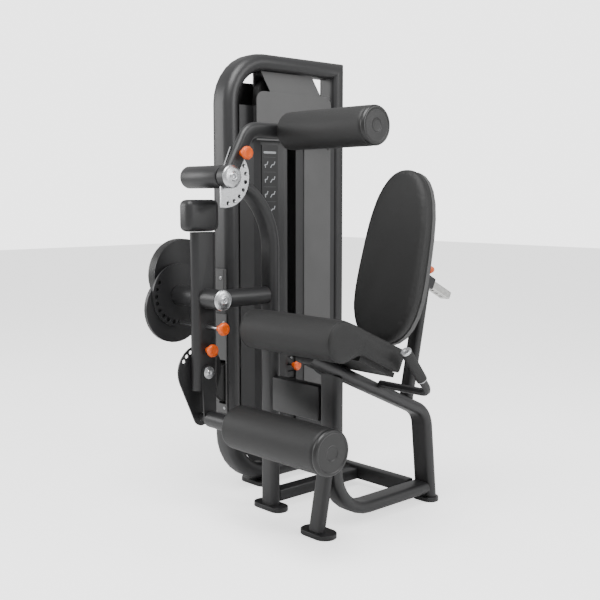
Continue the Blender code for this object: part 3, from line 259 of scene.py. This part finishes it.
def turned(name, profile, start, axis, sides=56):
    """A lathe-turned piece: each (radius, distance) of the profile, carried round the axis at
    start + distance x axis + radius x (cos t, sin t) square to it."""
    axis, first, second = across(axis)
    radius, distance = np.asarray(profile, float).T
    t = np.linspace(0, 2 * np.pi, sides, endpoint=False)
    ring = np.cos(t)[:, None] * first + np.sin(t)[:, None] * second
    points = (np.asarray(start, float) + distance[:, None, None] * axis
              + radius[:, None, None] * ring)
    return surface(name, points, (False, True))


zinc, _, _ = finish("zinc_plated_steel", "b9babb", 0.3, 1.0)


def screw(name, place, axis, head, body, material):
    """A button-head socket screw: a low dome with a round socket, drawn as shares of its head's
    radius."""
    profile = eased([(0, 0.25), (0.42, 0.25), (0.45, 0.62), (0.62, 0.60), (1.0, 0.18),
                     (1.0, -0.3), (0, -0.3)], 0.10, 3) * head
    made = turned(name, profile, place, axis, 28)
    made.data.materials.append(material)
    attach(made, body)
    return made


guard_low, guard_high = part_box("belt_guard")
for k, y_offset in enumerate((-0.020, 0.020)):
    screw(f"guard_screw_{k + 1}",
          ((guard_low.x + guard_high.x) / 2 + y_offset, guard_low.y, guard_low.z + 0.045),
          (0, -1, 0), 0.0065, "base", zinc)
cover_low, cover_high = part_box("front_cover")
for k, z in enumerate((cover_high.z - 0.030, cover_low.z + 0.018)):
    screw(f"cover_screw_{k + 1}", (cover_high.x - 0.012, cover_low.y, z), (0, -1, 0), 0.0055,
          "base", zinc)
panel_low, panel_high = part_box("access_panel")
for k, (y, z) in enumerate(((panel_low.y + 0.012, panel_high.z - 0.014),
                            (panel_high.y - 0.012, panel_high.z - 0.014),
                            (panel_low.y + 0.012, panel_low.z + 0.014),
                            (panel_high.y - 0.012, panel_low.z + 0.014))):
    screw(f"panel_screw_{k + 1}", (panel_high.x, y, z), (1, 0, 0), 0.0048, "base", grey)


# --- Instruction placard ---------------------------------------------------------
# A black anodised plate with a paler heading bar and rows of little seat figures, printed
# and slightly raised. It carries no lettering.

anodised, _, _ = finish("black_anodised_aluminium", "0f0f10", 0.35)
print_grey, _, _ = finish("pale_screen_print", "8f9194", 0.6)
print_dim, _, _ = finish("dim_screen_print", "4a4b4d", 0.6)
print_orange, _, _ = finish("orange_screen_print", "d2682c", 0.6)
dress(anodised, "placard")
placard_low, placard_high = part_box("placard")


def tablet(name, low, high, ease, material, body):
    """A thin pressed plate in the YZ plane: a rounded rectangle carried from its back to its face,
    its last ring drawn in so that the edge is eased."""
    (x0, y0, z0), (x1, y1, z1) = low, high
    t = np.linspace(0, 2 * np.pi, 32, endpoint=False)
    half = np.array([(y1 - y0) / 2, (z1 - z0) / 2])
    corner_y = np.sign(np.cos(t)) * np.abs(np.cos(t)) ** 0.35
    corner_z = np.sign(np.sin(t)) * np.abs(np.sin(t)) ** 0.35
    inset = np.array([1.0, 0.0, 0.0, ease, 1.0])
    factor = np.array([0.0, 1.0, 1.0, 1.0, 0.0])
    depth = np.array([x0, x0, x1 - ease, x1, x1])
    ring = factor[:, None] * np.ones_like(t)
    y = (y0 + y1) / 2 + ring * (half[0] - (inset * (factor > 0))[:, None]) * corner_y
    z = (z0 + z1) / 2 + ring * (half[1] - (inset * (factor > 0))[:, None]) * corner_z
    x = depth[:, None] * np.ones_like(t)
    made = surface(name, np.stack([x, y, z], axis=-1), (False, True))
    made.data.materials.append(material)
    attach(made, body)
    return made


face = placard_high.x
tablet("placard_heading", (face - 0.0002, placard_low.y + 0.008, placard_high.z - 0.030),
       (face + 0.0005, placard_high.y - 0.008, placard_high.z - 0.022), 0.0001, print_grey,
       "base")


def seat_figure(name, y, z, size, lean, material):
    """A little sign of a seat: a leaning back, a seat line and a leg, as one bent ribbon."""
    line = eased([(y + 0.30 * size, z + 0.5 * size), (y + 0.10 * size, z), (y - 0.30 * size, z),
                  (y - (0.30 + lean) * size, z - 0.5 * size)], 0.1 * size, 3)
    run = np.gradient(line, axis=0)
    side = np.stack([-run[:, 1], run[:, 0]], axis=1)
    side *= 0.075 * size / np.linalg.norm(side, axis=1)[:, None]
    edge = np.stack([line + side, line - side], axis=1)
    lift = np.array([face - 0.0002, face + 0.0005])
    x = np.array([lift[0], lift[1], lift[1], lift[0]])
    ring = edge[:, (0, 0, 1, 1), :]
    points = np.concatenate([np.broadcast_to(x[None, :, None], ring.shape[:2] + (1,)), ring], axis=2)
    middle = points.mean(axis=1, keepdims=True).repeat(4, axis=1)
    points = np.concatenate([middle[:1], points, middle[-1:]])
    made = surface(name, points, (False, True))
    made.data.shade_flat()
    made.data.materials.append(material)
    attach(made, "base")


for row in range(4):
    for column in range(2):
        seat_figure(f"placard_figure_{row + 1}_{column + 1}",
                    placard_low.y + 0.021 + 0.033 * column,
                    placard_high.z - 0.068 - 0.052 * row, 0.022, 0.35 if column else -0.1,
                    print_orange if (row, column) == (3, 0) else print_grey)
    tablet(f"placard_rule_{row + 1}",
           (face - 0.0002, placard_low.y + 0.008, placard_high.z - 0.0425 - 0.052 * row),
           (face + 0.0004, placard_high.y - 0.008, placard_high.z - 0.0415 - 0.052 * row), 0.0001,
           print_dim, "base")


# --- Weight stack and guide rods ----------------------------------------------------
# Cast iron plates painted black, on two ground and plated rods. They show only through the
# slot in the shroud.

def grained(name, colour, roughness, scale, depth, strength, detail=2.0):
    """A plain finish with one even grain: its depth is in metres, its scale in grains a metre."""
    made, tree, shader = finish(name, colour, roughness)
    place = add(tree, "ShaderNodeTexCoord").outputs["Object"]
    grain = add(tree, "ShaderNodeTexNoise", {"Vector": place, "Scale": scale, "Detail": detail})
    bump = add(tree, "ShaderNodeBump", {"Height": grain.outputs["Fac"], "Strength": strength,
                                        "Distance": depth})
    tree.links.new(bump.outputs["Normal"], shader.inputs["Normal"])
    return made


iron = grained("painted_cast_iron", "101010", 0.55, 300.0, 0.0008, 0.4, 4.0)
dress(iron, "resting_plates", "lifted_plates")


def ground_steel(name, colour, roughness, axis_scale):
    """Ground and plated steel: fine scratches, stretched round the piece, in its gloss."""
    made, tree, shader = finish(name, colour, roughness, 1.0)
    place = add(tree, "ShaderNodeTexCoord").outputs["Object"]
    stretched = add(tree, "ShaderNodeMapping", {"Vector": place, "Scale": axis_scale})
    lines = add(tree, "ShaderNodeTexNoise", {"Vector": stretched.outputs[0], "Scale": 1.0,
                                             "Detail": 3.0})
    dull = add(tree, "ShaderNodeMapRange", {"Value": lines.outputs["Fac"], "From Min": 0.3,
                                            "From Max": 0.7, "To Min": roughness - 0.07,
                                            "To Max": roughness + 0.10})
    tree.links.new(dull.outputs["Result"], shader.inputs["Roughness"])
    bump = add(tree, "ShaderNodeBump", {"Height": lines.outputs["Fac"], "Strength": 0.15,
                                        "Distance": 0.0003})
    tree.links.new(bump.outputs["Normal"], shader.inputs["Normal"])
    return made


rod_steel = ground_steel("ground_steel_rod", "c6c7c9", 0.22, (200, 200, 900))
turned_steel = ground_steel("turned_steel", "c2c3c5", 0.30, (900, 250, 250))
bar_steel = ground_steel("nickel_plated_bar", "d3d3d0", 0.34, (900, 120, 120))
dress(rod_steel, "guide_rod_front", "guide_rod_rear")
dress(turned_steel, "quadrant_plate")
dress(bar_steel, "slide_bar")


# --- Belt drive ---------------------------------------------------------------------
# A flat toothless belt of black urethane over steel cords runs round the cam. The pulleys are
# moulded nylon; the cams and the holed start plate are laser cut and powder coated.

belt_rubber, belt_tree, belt_shader = finish("black_urethane_belt", "0b0b0b", 0.45)
belt_place = add(belt_tree, "ShaderNodeTexCoord").outputs["Object"]
cords = add(belt_tree, "ShaderNodeTexWave", {"Vector": belt_place, "Scale": 125.0},
            bands_direction="X")
cord_bump = add(belt_tree, "ShaderNodeBump", {"Height": cords.outputs["Fac"], "Strength": 0.4,
                                              "Distance": 0.0005})
belt_tree.links.new(cord_bump.outputs["Normal"], belt_shader.inputs["Normal"])
dress(belt_rubber, "drive_belt")
nylon = grained("moulded_black_nylon", "131313", 0.42, 900.0, 0.0003, 0.2)
dress(nylon, "guide_pulley", "top_pulley")
dress(charcoal, "start_plate", "lower_cam", "belt_cam")


# --- Link under the lever ------------------------------------------------------------
# Two laser-cut plates carry the shin roller's cross shaft and can be reset by a pull pin.

dress(charcoal, "link_plate_outer", "link_plate_inner")


# --- Pivot caps -----------------------------------------------------------------------
# The hub shaft's head, the thigh pivot's cap and the link bolt are turned steel discs with a
# raised ring and a dished centre.

def disc_cap(name, node, middle, body, rings):
    """A turned cap: stepped rings given as (share of the radius, share of the height)."""
    low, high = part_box(node)
    radius = (high.y - low.y) / 2
    height = rings["height"]
    profile = [(0, rings["steps"][0][1] * height)]
    profile += [(share * radius, rise * height) for share, rise in rings["steps"]]
    profile += [(radius, 0), (0, 0)]
    base_x = high.x - height
    made = turned(name, eased(profile, 0.0016, 3), (base_x, middle[1], middle[2]), (1, 0, 0), 64)
    made.data.materials.append(turned_steel)
    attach(made, body)
    return made


dished = {"height": 0.013, "steps": [(0.16, 0.55), (0.19, 0.98), (0.33, 1.0), (0.37, 0.62),
                                     (0.72, 0.56), (0.93, 0.34)]}
hub = joint["cam_turn"]["pos_m"]
hub_low, hub_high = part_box("hub_shaft")
cap_x = hub_high.x - dished["height"]
disc_cap("hub_disc", "hub_shaft", hub, "cam", dished)
hub_bar = turned("hub_bar", eased([(0, 0), (0.0138, 0), (0.015, 0.0012),
                                   (0.015, cap_x - hub_low.x - 0.0005),
                                   (0, cap_x - hub_low.x - 0.0005)], 0.0008, 2),
                 (hub_low.x, hub[1], hub[2]), (1, 0, 0), 40)
hub_bar.data.materials.append(turned_steel)
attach(hub_bar, "cam")
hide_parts("hub_shaft")
thigh = joint["thigh_setting"]["pos_m"]
cap_low, cap_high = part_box("thigh_cap")
thigh_disc = disc_cap("thigh_disc", "thigh_cap", thigh, "thigh_hold_down",
                      dict(dished, height=cap_high.x - cap_low.x))
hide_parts("thigh_cap")
link_axis = joint["link_setting"]["pos_m"]
washer_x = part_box("link_bolt")[1].x - 0.006
bolt_reach = -0.0595
bolt_disc = turned("link_bolt_head", eased([
    (0, 0.0045), (0.0045, 0.0045), (0.0048, 0.0062), (0.0085, 0.0062), (0.0100, 0.0030),
    (0.0130, 0.0028), (0.0140, 0.0016), (0.0200, 0.0014), (0.0200, 0), (0.0088, 0),
    (0.0088, bolt_reach), (0, bolt_reach)], 0.0006, 2),
    (washer_x, link_axis[1], link_axis[2]), (1, 0, 0), 48)
bolt_disc.data.materials.append(turned_steel)
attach(bolt_disc, "link")
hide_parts("link_bolt")


# --- Pull pins --------------------------------------------------------------------------
# Each spring pin is a plated steel plunger with a mushroom knob moulded in orange nylon, its
# rim in ten shallow lobes.

def orange_plastic():
    """Glass-filled nylon with a moulded sheen: a slow mottling and a faint spark-eroded grain."""
    made, tree, shader = finish("moulded_orange_nylon", "e2752a", 0.36)
    place = add(tree, "ShaderNodeTexCoord").outputs["Object"]
    grain = add(tree, "ShaderNodeTexNoise", {"Vector": place, "Scale": 700.0, "Detail": 2.0})
    cloud = add(tree, "ShaderNodeTexNoise", {"Vector": place, "Scale": 60.0, "Detail": 2.0})
    shade = add(tree, "ShaderNodeMix", {"Factor": cloud.outputs["Fac"], "A": linear("cc4c00"),
                                        "B": linear("dd5a04")}, data_type="RGBA")
    tree.links.new(shade.outputs["Result"], shader.inputs["Base Color"])
    bump = add(tree, "ShaderNodeBump", {"Height": grain.outputs["Fac"], "Strength": 0.2,
                                        "Distance": 0.0002})
    tree.links.new(bump.outputs["Normal"], shader.inputs["Normal"])
    return made


orange = orange_plastic()


def pull_pin(node, body, joint_name, knob_r, knob_l, shank_r=0.006):
    """A plunger that runs from the node's inner end, and a knob whose radius swells and falls as
    a smooth wave along it, with a shallow 10-lobed grip wave round it."""
    place, axis = np.array(joint[joint_name]["pos_m"]), np.array(joint[joint_name]["axis"], float)
    points = np.empty(len(nodes[node].data.vertices) * 3)
    nodes[node].data.vertices.foreach_get("co", points)
    reach = (points.reshape(-1, 3) - place) @ axis
    start, end = place + axis * reach.min(), place + axis * reach.max()
    length = reach.max() - reach.min()
    stem = length - knob_l
    shank = turned(node + "_plunger", eased([
        (0, 0), (shank_r * 0.75, 0), (shank_r, 0.0015), (shank_r, max(stem - 0.004, 0.003)),
        (shank_r, stem + 0.004), (0, stem + 0.004)], 0.0006, 2), start, axis, 32)
    shank.data.materials.append(zinc)
    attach(shank, body)
    unit, first, second = across(axis)
    t = np.linspace(0, 2 * np.pi, 80, endpoint=False)
    profile = eased([(0, 0), (0.0098, 0), (0.0102, 0.22 * knob_l), (0.55 * knob_r, 0.36 * knob_l),
                     (0.97 * knob_r, 0.60 * knob_l), (knob_r, 0.80 * knob_l),
                     (0.86 * knob_r, 0.95 * knob_l), (0.5 * knob_r, 0.985 * knob_l),
                     (0.45 * knob_r, 0.95 * knob_l), (0, 0.945 * knob_l)], 0.0022, 4)
    radius, distance = profile.T
    grip = np.clip((radius - 0.8 * knob_r) / (0.2 * knob_r), 0, 1)[:, None]
    wavy = radius[:, None] * (1 - 0.035 * grip * (0.5 - 0.5 * np.cos(10 * t)))
    ring = np.cos(t)[:, None] * first + np.sin(t)[:, None] * second
    base = start + unit * stem
    made = surface(node + "_knob",
                   base + distance[:, None, None] * unit + wavy[:, :, None] * ring, (False, True))
    made.data.materials.append(orange)
    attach(made, body)
    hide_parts(node)


pull_pin("start_pin", "start_pull_pin", "start_pin_pull", 0.021, 0.036)
pull_pin("link_pin", "link_pull_pin", "link_pin_pull", 0.021, 0.036)
pull_pin("thigh_pin", "thigh_pull_pin", "thigh_pin_pull", 0.021, 0.036)
pull_pin("backrest_pin", "backrest_pull_pin", "backrest_pin_pull", 0.021, 0.036)
pull_pin("selector_pin", "selector", "selector_pull", 0.0178, 0.028)


# --- Foam rollers ------------------------------------------------------------------------
# Dense foam tube in a sewn black vinyl sleeve, closed at its free end by a moulded cap with a
# raised rim. The sleeve is a little fuller at its middle than at its ends.

def vinyl(name, colour, roughness, grain_scale):
    """Upholstery vinyl: embossed leather grain of rounded cells about 1.5 mm across."""
    made, tree, shader = finish(name, colour, roughness)
    place = add(tree, "ShaderNodeTexCoord").outputs["Object"]
    bent = add(tree, "ShaderNodeTexNoise", {"Vector": place, "Scale": 90.0, "Detail": 3.0})
    moved = add(tree, "ShaderNodeMix", {"Factor": 0.02, "A": place, "B": bent.outputs["Color"]},
                data_type="VECTOR")
    cells = add(tree, "ShaderNodeTexVoronoi", {"Vector": moved.outputs[1], "Scale": grain_scale},
                feature="DISTANCE_TO_EDGE")
    crease = add(tree, "ShaderNodeMapRange", {"Value": cells.outputs["Distance"], "From Max": 0.25})
    soft = add(tree, "ShaderNodeTexNoise", {"Vector": place, "Scale": 7.0, "Detail": 4.0})
    shade = add(tree, "ShaderNodeMapRange", {"Value": soft.outputs["Fac"], "From Min": 0.3,
                                             "From Max": 0.7, "To Min": 0.88, "To Max": 1.15})
    base = add(tree, "ShaderNodeRGB")
    base.outputs[0].default_value = linear(colour)
    tinted = add(tree, "ShaderNodeVectorMath", {0: base.outputs[0], 1: shade.outputs["Result"]},
                 operation="MULTIPLY")
    tree.links.new(tinted.outputs[0], shader.inputs["Base Color"])
    dull = add(tree, "ShaderNodeMapRange", {"Value": crease.outputs["Result"],
                                            "To Min": roughness + 0.12, "To Max": roughness})
    tree.links.new(dull.outputs["Result"], shader.inputs["Roughness"])
    bump = add(tree, "ShaderNodeBump", {"Height": crease.outputs["Result"], "Strength": 0.22,
                                        "Distance": 0.0005})
    tree.links.new(bump.outputs["Normal"], shader.inputs["Normal"])
    return made


roller_vinyl = vinyl("black_roller_vinyl", "0c0c0c", 0.50, 620.0)
pad_vinyl = vinyl("black_upholstery_vinyl", "0a0a0a", 0.56, 620.0)


def foam_roller(node, body, centre, bore_share):
    """A foam sleeve: barrel radius = R x (1 - 0.012 (2s - 1)^2) along its length s, with its ends
    rolled in by a quarter circle and one sewn groove near each end."""
    low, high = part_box(node)
    radius, length = (high.z - low.z) / 2, high.x - low.x
    s = np.linspace(0, 1, 49)
    roll = 0.012
    inner = roll + s * (length - 2 * roll)
    seam = (np.exp(-((inner - 0.022) / 0.0016) ** 2)
            + np.exp(-((inner - length + 0.022) / 0.0016) ** 2)) * 0.0011
    barrel = radius * (1 - 0.012 * (2 * s - 1) ** 2) - seam
    turn = np.linspace(0, np.pi / 2, 9)[1:]
    edge_r = barrel[0] - roll * 0.7 * (1 - np.cos(turn))
    low_end = np.stack([edge_r[::-1], roll - roll * np.sin(turn[::-1])], axis=1)
    high_end = np.stack([edge_r, length - roll + roll * np.sin(turn)], axis=1)
    eye = bore_share * radius
    profile = np.concatenate([[(eye, 0.02), (eye, 0.0006)], low_end,
                              np.stack([barrel, inner], axis=1), high_end,
                              [(eye, length - 0.0006), (eye, length - 0.02), (eye, 0.02)]])
    made = turned(node + "_sleeve", profile, (low.x, centre[1], centre[2]), (1, 0, 0), 72)
    made.data.materials.append(roller_vinyl)
    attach(made, body)
    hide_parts(node)
    cap_low, cap_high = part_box(node + "_cap")
    cap_r, cap_t = (cap_high.z - cap_low.z) / 2, cap_high.x - cap_low.x
    rim = eased([(0, 0.62 * cap_t), (0.30 * cap_r, 0.62 * cap_t), (0.34 * cap_r, 0.72 * cap_t),
                 (0.80 * cap_r, 0.66 * cap_t), (0.86 * cap_r, 0.80 * cap_t),
                 (0.95 * cap_r, 0.74 * cap_t), (cap_r, 0.40 * cap_t), (cap_r, 0.02 * cap_t),
                 (0.3 * cap_r, 0.0), (0, 0.0)], 0.002, 4)
    cap = turned(node + "_end_cap", rim, (cap_low.x + 0.0002, centre[1], centre[2]), (1, 0, 0), 72)
    cap.data.materials.append(nylon)
    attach(cap, body)
    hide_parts(node + "_cap")


foam_roller("lower_roller", "shin_roller", joint["shin_roller_spin"]["pos_m"], 0.40)
foam_roller("upper_roller", "thigh_roller", joint["thigh_roller_spin"]["pos_m"], 0.24)


# --- Hand rails ------------------------------------------------------------------------
# Bent round tube under the seat, each with a ribbed rubber grip, an aluminium collar and an
# aluminium end plug.

grip_rubber = grained("black_grip_rubber", "0b0b0b", 0.55, 800.0, 0.0003, 0.3)
dress(charcoal, "handle_left", "handle_right")


def hand_grip(side, grip_r=0.0172):
    """A grip along its rail's last run: radius = R x (1 - 2.2% of a cubed wave every 6 mm),
    its ends eased, with a collar at its foot and a plug in its end. The foot is open round the
    rail."""
    points = np.empty(len(nodes[f"grip_{side}"].data.vertices) * 3)
    nodes[f"grip_{side}"].data.vertices.foreach_get("co", points)
    points = points.reshape(-1, 3)
    centre = points.mean(axis=0)
    centre[0] = (points[:, 0].min() + points[:, 0].max()) / 2
    spread = np.linalg.svd((points - centre)[:, 1:], full_matrices=False)[2][0]
    run = np.array([0, *spread]) * (1 if spread[1] > 0 else -1)
    reach = (points - centre) @ run
    side_way = np.cross(run, (1, 0, 0))
    centre = centre + side_way * ((points - centre) @ side_way).mean()
    low, length = centre + run * reach.min(), reach.max() - reach.min()
    s = np.linspace(0.006, length - 0.010, 120)
    ribs = grip_r * (1 - 0.022 * (0.5 - 0.5 * np.cos(2 * np.pi * s / 0.006)) ** 3)
    profile = np.concatenate([[(0.0131, 0.003), (grip_r * 0.93, 0.003), (grip_r * 0.99, 0.0045)],
                              np.stack([ribs, s], axis=1),
                              [(grip_r * 0.97, length - 0.0085), (grip_r * 0.90, length - 0.0075),
                               (0, length - 0.0075)]])
    made = turned(f"grip_{side}_rubber", profile, low, run, 48)
    made.data.materials.append(grip_rubber)
    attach(made, "base")
    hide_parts(f"grip_{side}")
    for name, shape in (("collar", [(0.0128, 0.0), (0.0165, 0.0), (0.0168, 0.0028),
                                    (0.0128, 0.0028), (0.0128, 0.0)]),
                        ("end_plug", [(0, length - 0.0078), (0.0150, length - 0.0078),
                                      (0.0172, length - 0.0066), (0.0172, length - 0.0016),
                                      (0.0160, length - 0.0004), (0.0075, length - 0.0004),
                                      (0.0065, length - 0.0018), (0, length - 0.0018)])):
        ring = turned(f"grip_{side}_{name}", eased(shape, 0.0004, 2), low, run, 48)
        ring.data.materials.append(turned_steel)
        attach(ring, "base")


hand_grip("left")
hand_grip("right")


# --- Seat --------------------------------------------------------------------------------
# Moulded foam on a plywood board under sewn black vinyl: a round bolster in front, a flat pad
# that falls to the rear, boxed sides, and a welt sewn round each side panel.

board_black = grained("black_laminated_board", "090909", 0.5, 400.0, 0.0003, 0.2)
dress(board_black, "seat_board")
dress(grey, "back_board")


def plump(piece, voxel, cap, frames=16):
    """Swells a pad as stuffing does: cloth with pressure inside and no gravity, each point kept
    within cap of where it was cut, then one subdivision."""
    bpy.context.view_layer.objects.active = piece
    remesh = piece.modifiers.new("even_cloth", "REMESH")
    remesh.mode = "VOXEL"
    remesh.voxel_size = voxel
    bpy.ops.object.modifier_apply(modifier=remesh.name)
    count = len(piece.data.vertices)
    cut = np.empty(count * 3)
    piece.data.vertices.foreach_get("co", cut)
    cloth = piece.modifiers.new("cloth", "CLOTH")
    cloth.settings.use_pressure = True
    cloth.settings.uniform_pressure_force = 4.0
    cloth.settings.effector_weights.gravity = 0.0
    cloth.settings.quality = 5
    for frame_number in range(1, frames + 1):
        bpy.context.scene.frame_set(frame_number)
    graph = bpy.context.evaluated_depsgraph_get()
    grown = np.empty(count * 3)
    piece.evaluated_get(graph).data.vertices.foreach_get("co", grown)
    piece.modifiers.remove(cloth)
    bpy.context.scene.frame_set(1)
    move = (grown - cut).reshape(-1, 3)
    step = np.linalg.norm(move, axis=1, keepdims=True)
    move *= np.minimum(1, cap / np.maximum(step, 1e-9))
    piece.data.vertices.foreach_set("co", (cut.reshape(-1, 3) + move).ravel())
    piece.data.update()
    piece.data.shade_smooth()
    finer = piece.modifiers.new("finer", "SUBSURF")
    finer.levels = finer.render_levels = 1
    return piece


def pad(name, outline, place, low_side, high_side, edge, crown):
    """A boxed pad. The outline (a closed loop in the pad's own plane) is carried from one side
    panel to the other; each ring is drawn in towards the middle by a quarter circle of radius
    edge near the sides, and its points are lifted by crown x (1 - w^2) across the width w."""
    centre = outline.mean(axis=0)
    away = outline - centre
    reach = np.linalg.norm(away, axis=1, keepdims=True)
    turn = np.linspace(0, np.pi / 2, 7)
    rise = edge * (1 - np.cos(turn))
    drawn = edge * (1 - np.sin(turn))
    width = high_side - low_side
    middle = np.linspace(edge, width - edge, 33)[1:-1]
    along = np.concatenate([[0, 0], rise, middle, width - rise[::-1], [width, width]])
    inset = np.concatenate([[0.98, 0.45], drawn, np.zeros(31), drawn[::-1], [0.45, 0.98]])
    w = 2 * along / width - 1
    grow = crown * (1 - w ** 2)
    scale = 1 + (grow[:, None] - inset[:, None]) / reach[:, 0]
    scale[0] = scale[-1] = 0
    scale[1] = scale[-2] = 0.5 * (1 - edge / reach[:, 0])
    plane = centre + scale[:, :, None] * away
    points = place(low_side + along[:, None] * np.ones(len(outline)), plane[:, :, 0], plane[:, :, 1])
    return surface(name, points, (False, True))


def welt(name, line, body, material, thick=0.0021):
    """A sewn welt: a closed round cord of vinyl carried along a loop of points."""
    run = np.roll(line, -1, axis=0) - np.roll(line, 1, axis=0)
    run /= np.linalg.norm(run, axis=1)[:, None]
    first = np.cross(run, (1.0, 0.02, 0.01))
    first /= np.linalg.norm(first, axis=1)[:, None]
    second = np.cross(run, first)
    t = np.linspace(0, 2 * np.pi, 10, endpoint=False)
    ring = (np.cos(t)[None, :, None] * first[:, None, :] + np.sin(t)[None, :, None] * second[:, None, :])
    made = surface(name, line[:, None, :] + thick * ring, (True, True))
    made.data.materials.append(material)
    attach(made, body)
    return made


def on_skin(piece, line):
    """Each point of a line moved to the nearest point of a finished pad's skin."""
    graph = bpy.context.evaluated_depsgraph_get()
    work = bmesh.new()
    work.from_object(piece, graph)
    tree = BVHTree.FromBMesh(work)
    work.free()
    return np.array([tree.find_nearest(Vector(point))[0] for point in line])


seat_low, seat_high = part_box("seat_cushion")
slope = math.radians(24.7)
down = np.array([math.cos(slope), -math.sin(slope)])
up = np.array([math.sin(slope), math.cos(slope)])
bolster = np.array([seat_low.y + 0.061, seat_high.z - 0.061])
rear_top = np.array([seat_high.y, seat_low.z + 0.0636])
rear_low = rear_top - up * 0.070
turn = np.radians(np.linspace(76, 284, 32))
front = bolster + 0.0600 * np.stack([np.cos(turn), np.sin(turn)], axis=1)
inner_low = rear_low - down * ((rear_low[0] - bolster[0] - 0.075) / down[0])
inner_top = rear_top - down * ((rear_top[0] - bolster[0] - 0.050) / down[0])
rim = eased([front[-1], inner_low, rear_low, rear_top, inner_top, front[0]], 0.008, 4)
steps = np.concatenate([[0], np.cumsum(np.linalg.norm(np.diff(rim, axis=0), axis=1))])
even = np.linspace(0, steps[-1], 96)[1:-1]
back_rim = np.column_stack([np.interp(even, steps, rim[:, 0]), np.interp(even, steps, rim[:, 1])])
seat_outline = np.concatenate([front, back_rim])


def seat_place(x, y, z):
    """The seat's own plane is the machine's YZ plane."""
    return np.stack([x, y, z], axis=-1)


seat_pad = pad("seat_pad", seat_outline, seat_place, seat_low.x + 0.001, seat_high.x - 0.001, 0.009,
               0.001)
seat_pad.data.materials.append(pad_vinyl)
plump(seat_pad, 0.005, 0.002)
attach(seat_pad, "base")
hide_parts("seat_cushion")
outward = seat_outline - seat_outline.mean(axis=0)
for side, x in (("left", seat_high.x - 0.006), ("right", seat_low.x + 0.006)):
    loop = seat_outline + outward * 0.01
    line = on_skin(seat_pad, np.column_stack([np.full(len(loop), x), loop]))
    welt(f"seat_welt_{side}", line, "base", pad_vinyl)


# --- Backrest ------------------------------------------------------------------------------
# A tall tapered pad of the same vinyl over foam, on a moulded grey shell, with a welt round
# its front edge. It slides on a nickel-plated bar.

back_low, back_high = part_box("back_cushion")
lean = math.radians(14.0)
back_mid = (back_low.x + back_high.x) / 2
half_thick = 0.0225
pad_length = (back_high.z - back_low.z - 2 * half_thick * math.sin(lean)) / math.cos(lean)
pad_up = np.array([0.0, math.sin(lean), math.cos(lean)])
pad_out = np.array([0.0, -math.cos(lean), math.sin(lean)])
pad_foot = np.array([back_mid, back_low.y + half_thick * math.cos(lean),
                     back_low.z + half_thick * math.sin(lean)])


def tall_oval(length, inset, count=49):
    """A closed outline (x, height): at a share v of the height the half width is
    (0.150 - 0.030 v) x (1 - |2v - 1|^3.2)^0.4545, less the inset; v runs up one side and down
    the other by a cosine, so that points gather at the ends."""
    v = 0.5 - 0.4995 * np.cos(np.linspace(0, np.pi, count))
    half = (0.150 - 0.030 * v) * (1 - np.abs(2 * v - 1) ** 3.2) ** 0.4545 - inset
    height = inset + v * (length - 2 * inset)
    return np.concatenate([np.column_stack([half, height]),
                           np.column_stack([-half, height])[::-1]])


def back_pad(name, outline, rear, front, edge, crown):
    """A pad lying in the leaning plane: its outline is carried from the rear plane to the front,
    drawn in by a quarter circle at both rims; the front then swells by
    crown x (1 - r^2), r being the share of the way from the pad's spine to its outline."""
    spine = np.column_stack([np.zeros(len(outline)), np.clip(outline[:, 1], 0.12, pad_length - 0.10)])
    away = outline - spine
    reach = np.linalg.norm(away, axis=1)
    turn = np.linspace(0, np.pi / 2, 7)
    depth = np.concatenate([[rear, rear], rear + edge * (1 - np.cos(turn)),
                            front - edge * (1 - np.cos(turn[::-1])), np.full(8, front)])
    share = np.concatenate([[0.0, 0.6], np.ones(14), np.linspace(0.9, 0.0, 8)])
    drawn = np.concatenate([[0, 0.6 * edge], edge * (1 - np.sin(turn)),
                            edge * (1 - np.sin(turn[::-1])), edge * np.linspace(0.9, 0.0, 8)])
    factor = share[:, None] - drawn[:, None] / reach
    factor[0] = factor[-1] = 0
    plane = spine + factor[:, :, None] * away
    swell = np.where(np.arange(len(depth))[:, None] >= 15, crown * (1 - factor ** 2), 0)
    points = (pad_foot + plane[:, :, :1] * np.array([1.0, 0, 0]) + plane[:, :, 1:] * pad_up
              + (depth[:, None] + swell)[:, :, None] * pad_out)
    return surface(name, points, (False, True))


back_outline = tall_oval(pad_length, 0.001)
made_back = back_pad("back_pad", back_outline, -half_thick + 0.001, half_thick - 0.004, 0.014, 0.004)
made_back.data.materials.append(pad_vinyl)
plump(made_back, 0.005, 0.002)
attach(made_back, "backrest")
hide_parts("back_cushion")
rim_line = pad_foot + back_outline[:, :1] * np.array([1.0, 0, 0]) + back_outline[:, 1:] * pad_up
welt("back_welt", on_skin(made_back, rim_line + (-half_thick + 0.006) * pad_out), "backrest",
     pad_vinyl)


# --- Seat screws --------------------------------------------------------------------------------
# Zinc-plated button-head screws at the foot of the seat's side, where the pad meets its board.
# They are stock sizes, tightened flush.

for k, along in enumerate((0.105, 0.195)):
    at = bolster + np.array([along * math.cos(slope), -along * math.sin(slope)])
    at = at + up * -0.034
    screw(f"seat_screw_{k + 1}", (seat_low.x, at[0], at[1]), (-1, 0, 0), 0.0042, "base", zinc)
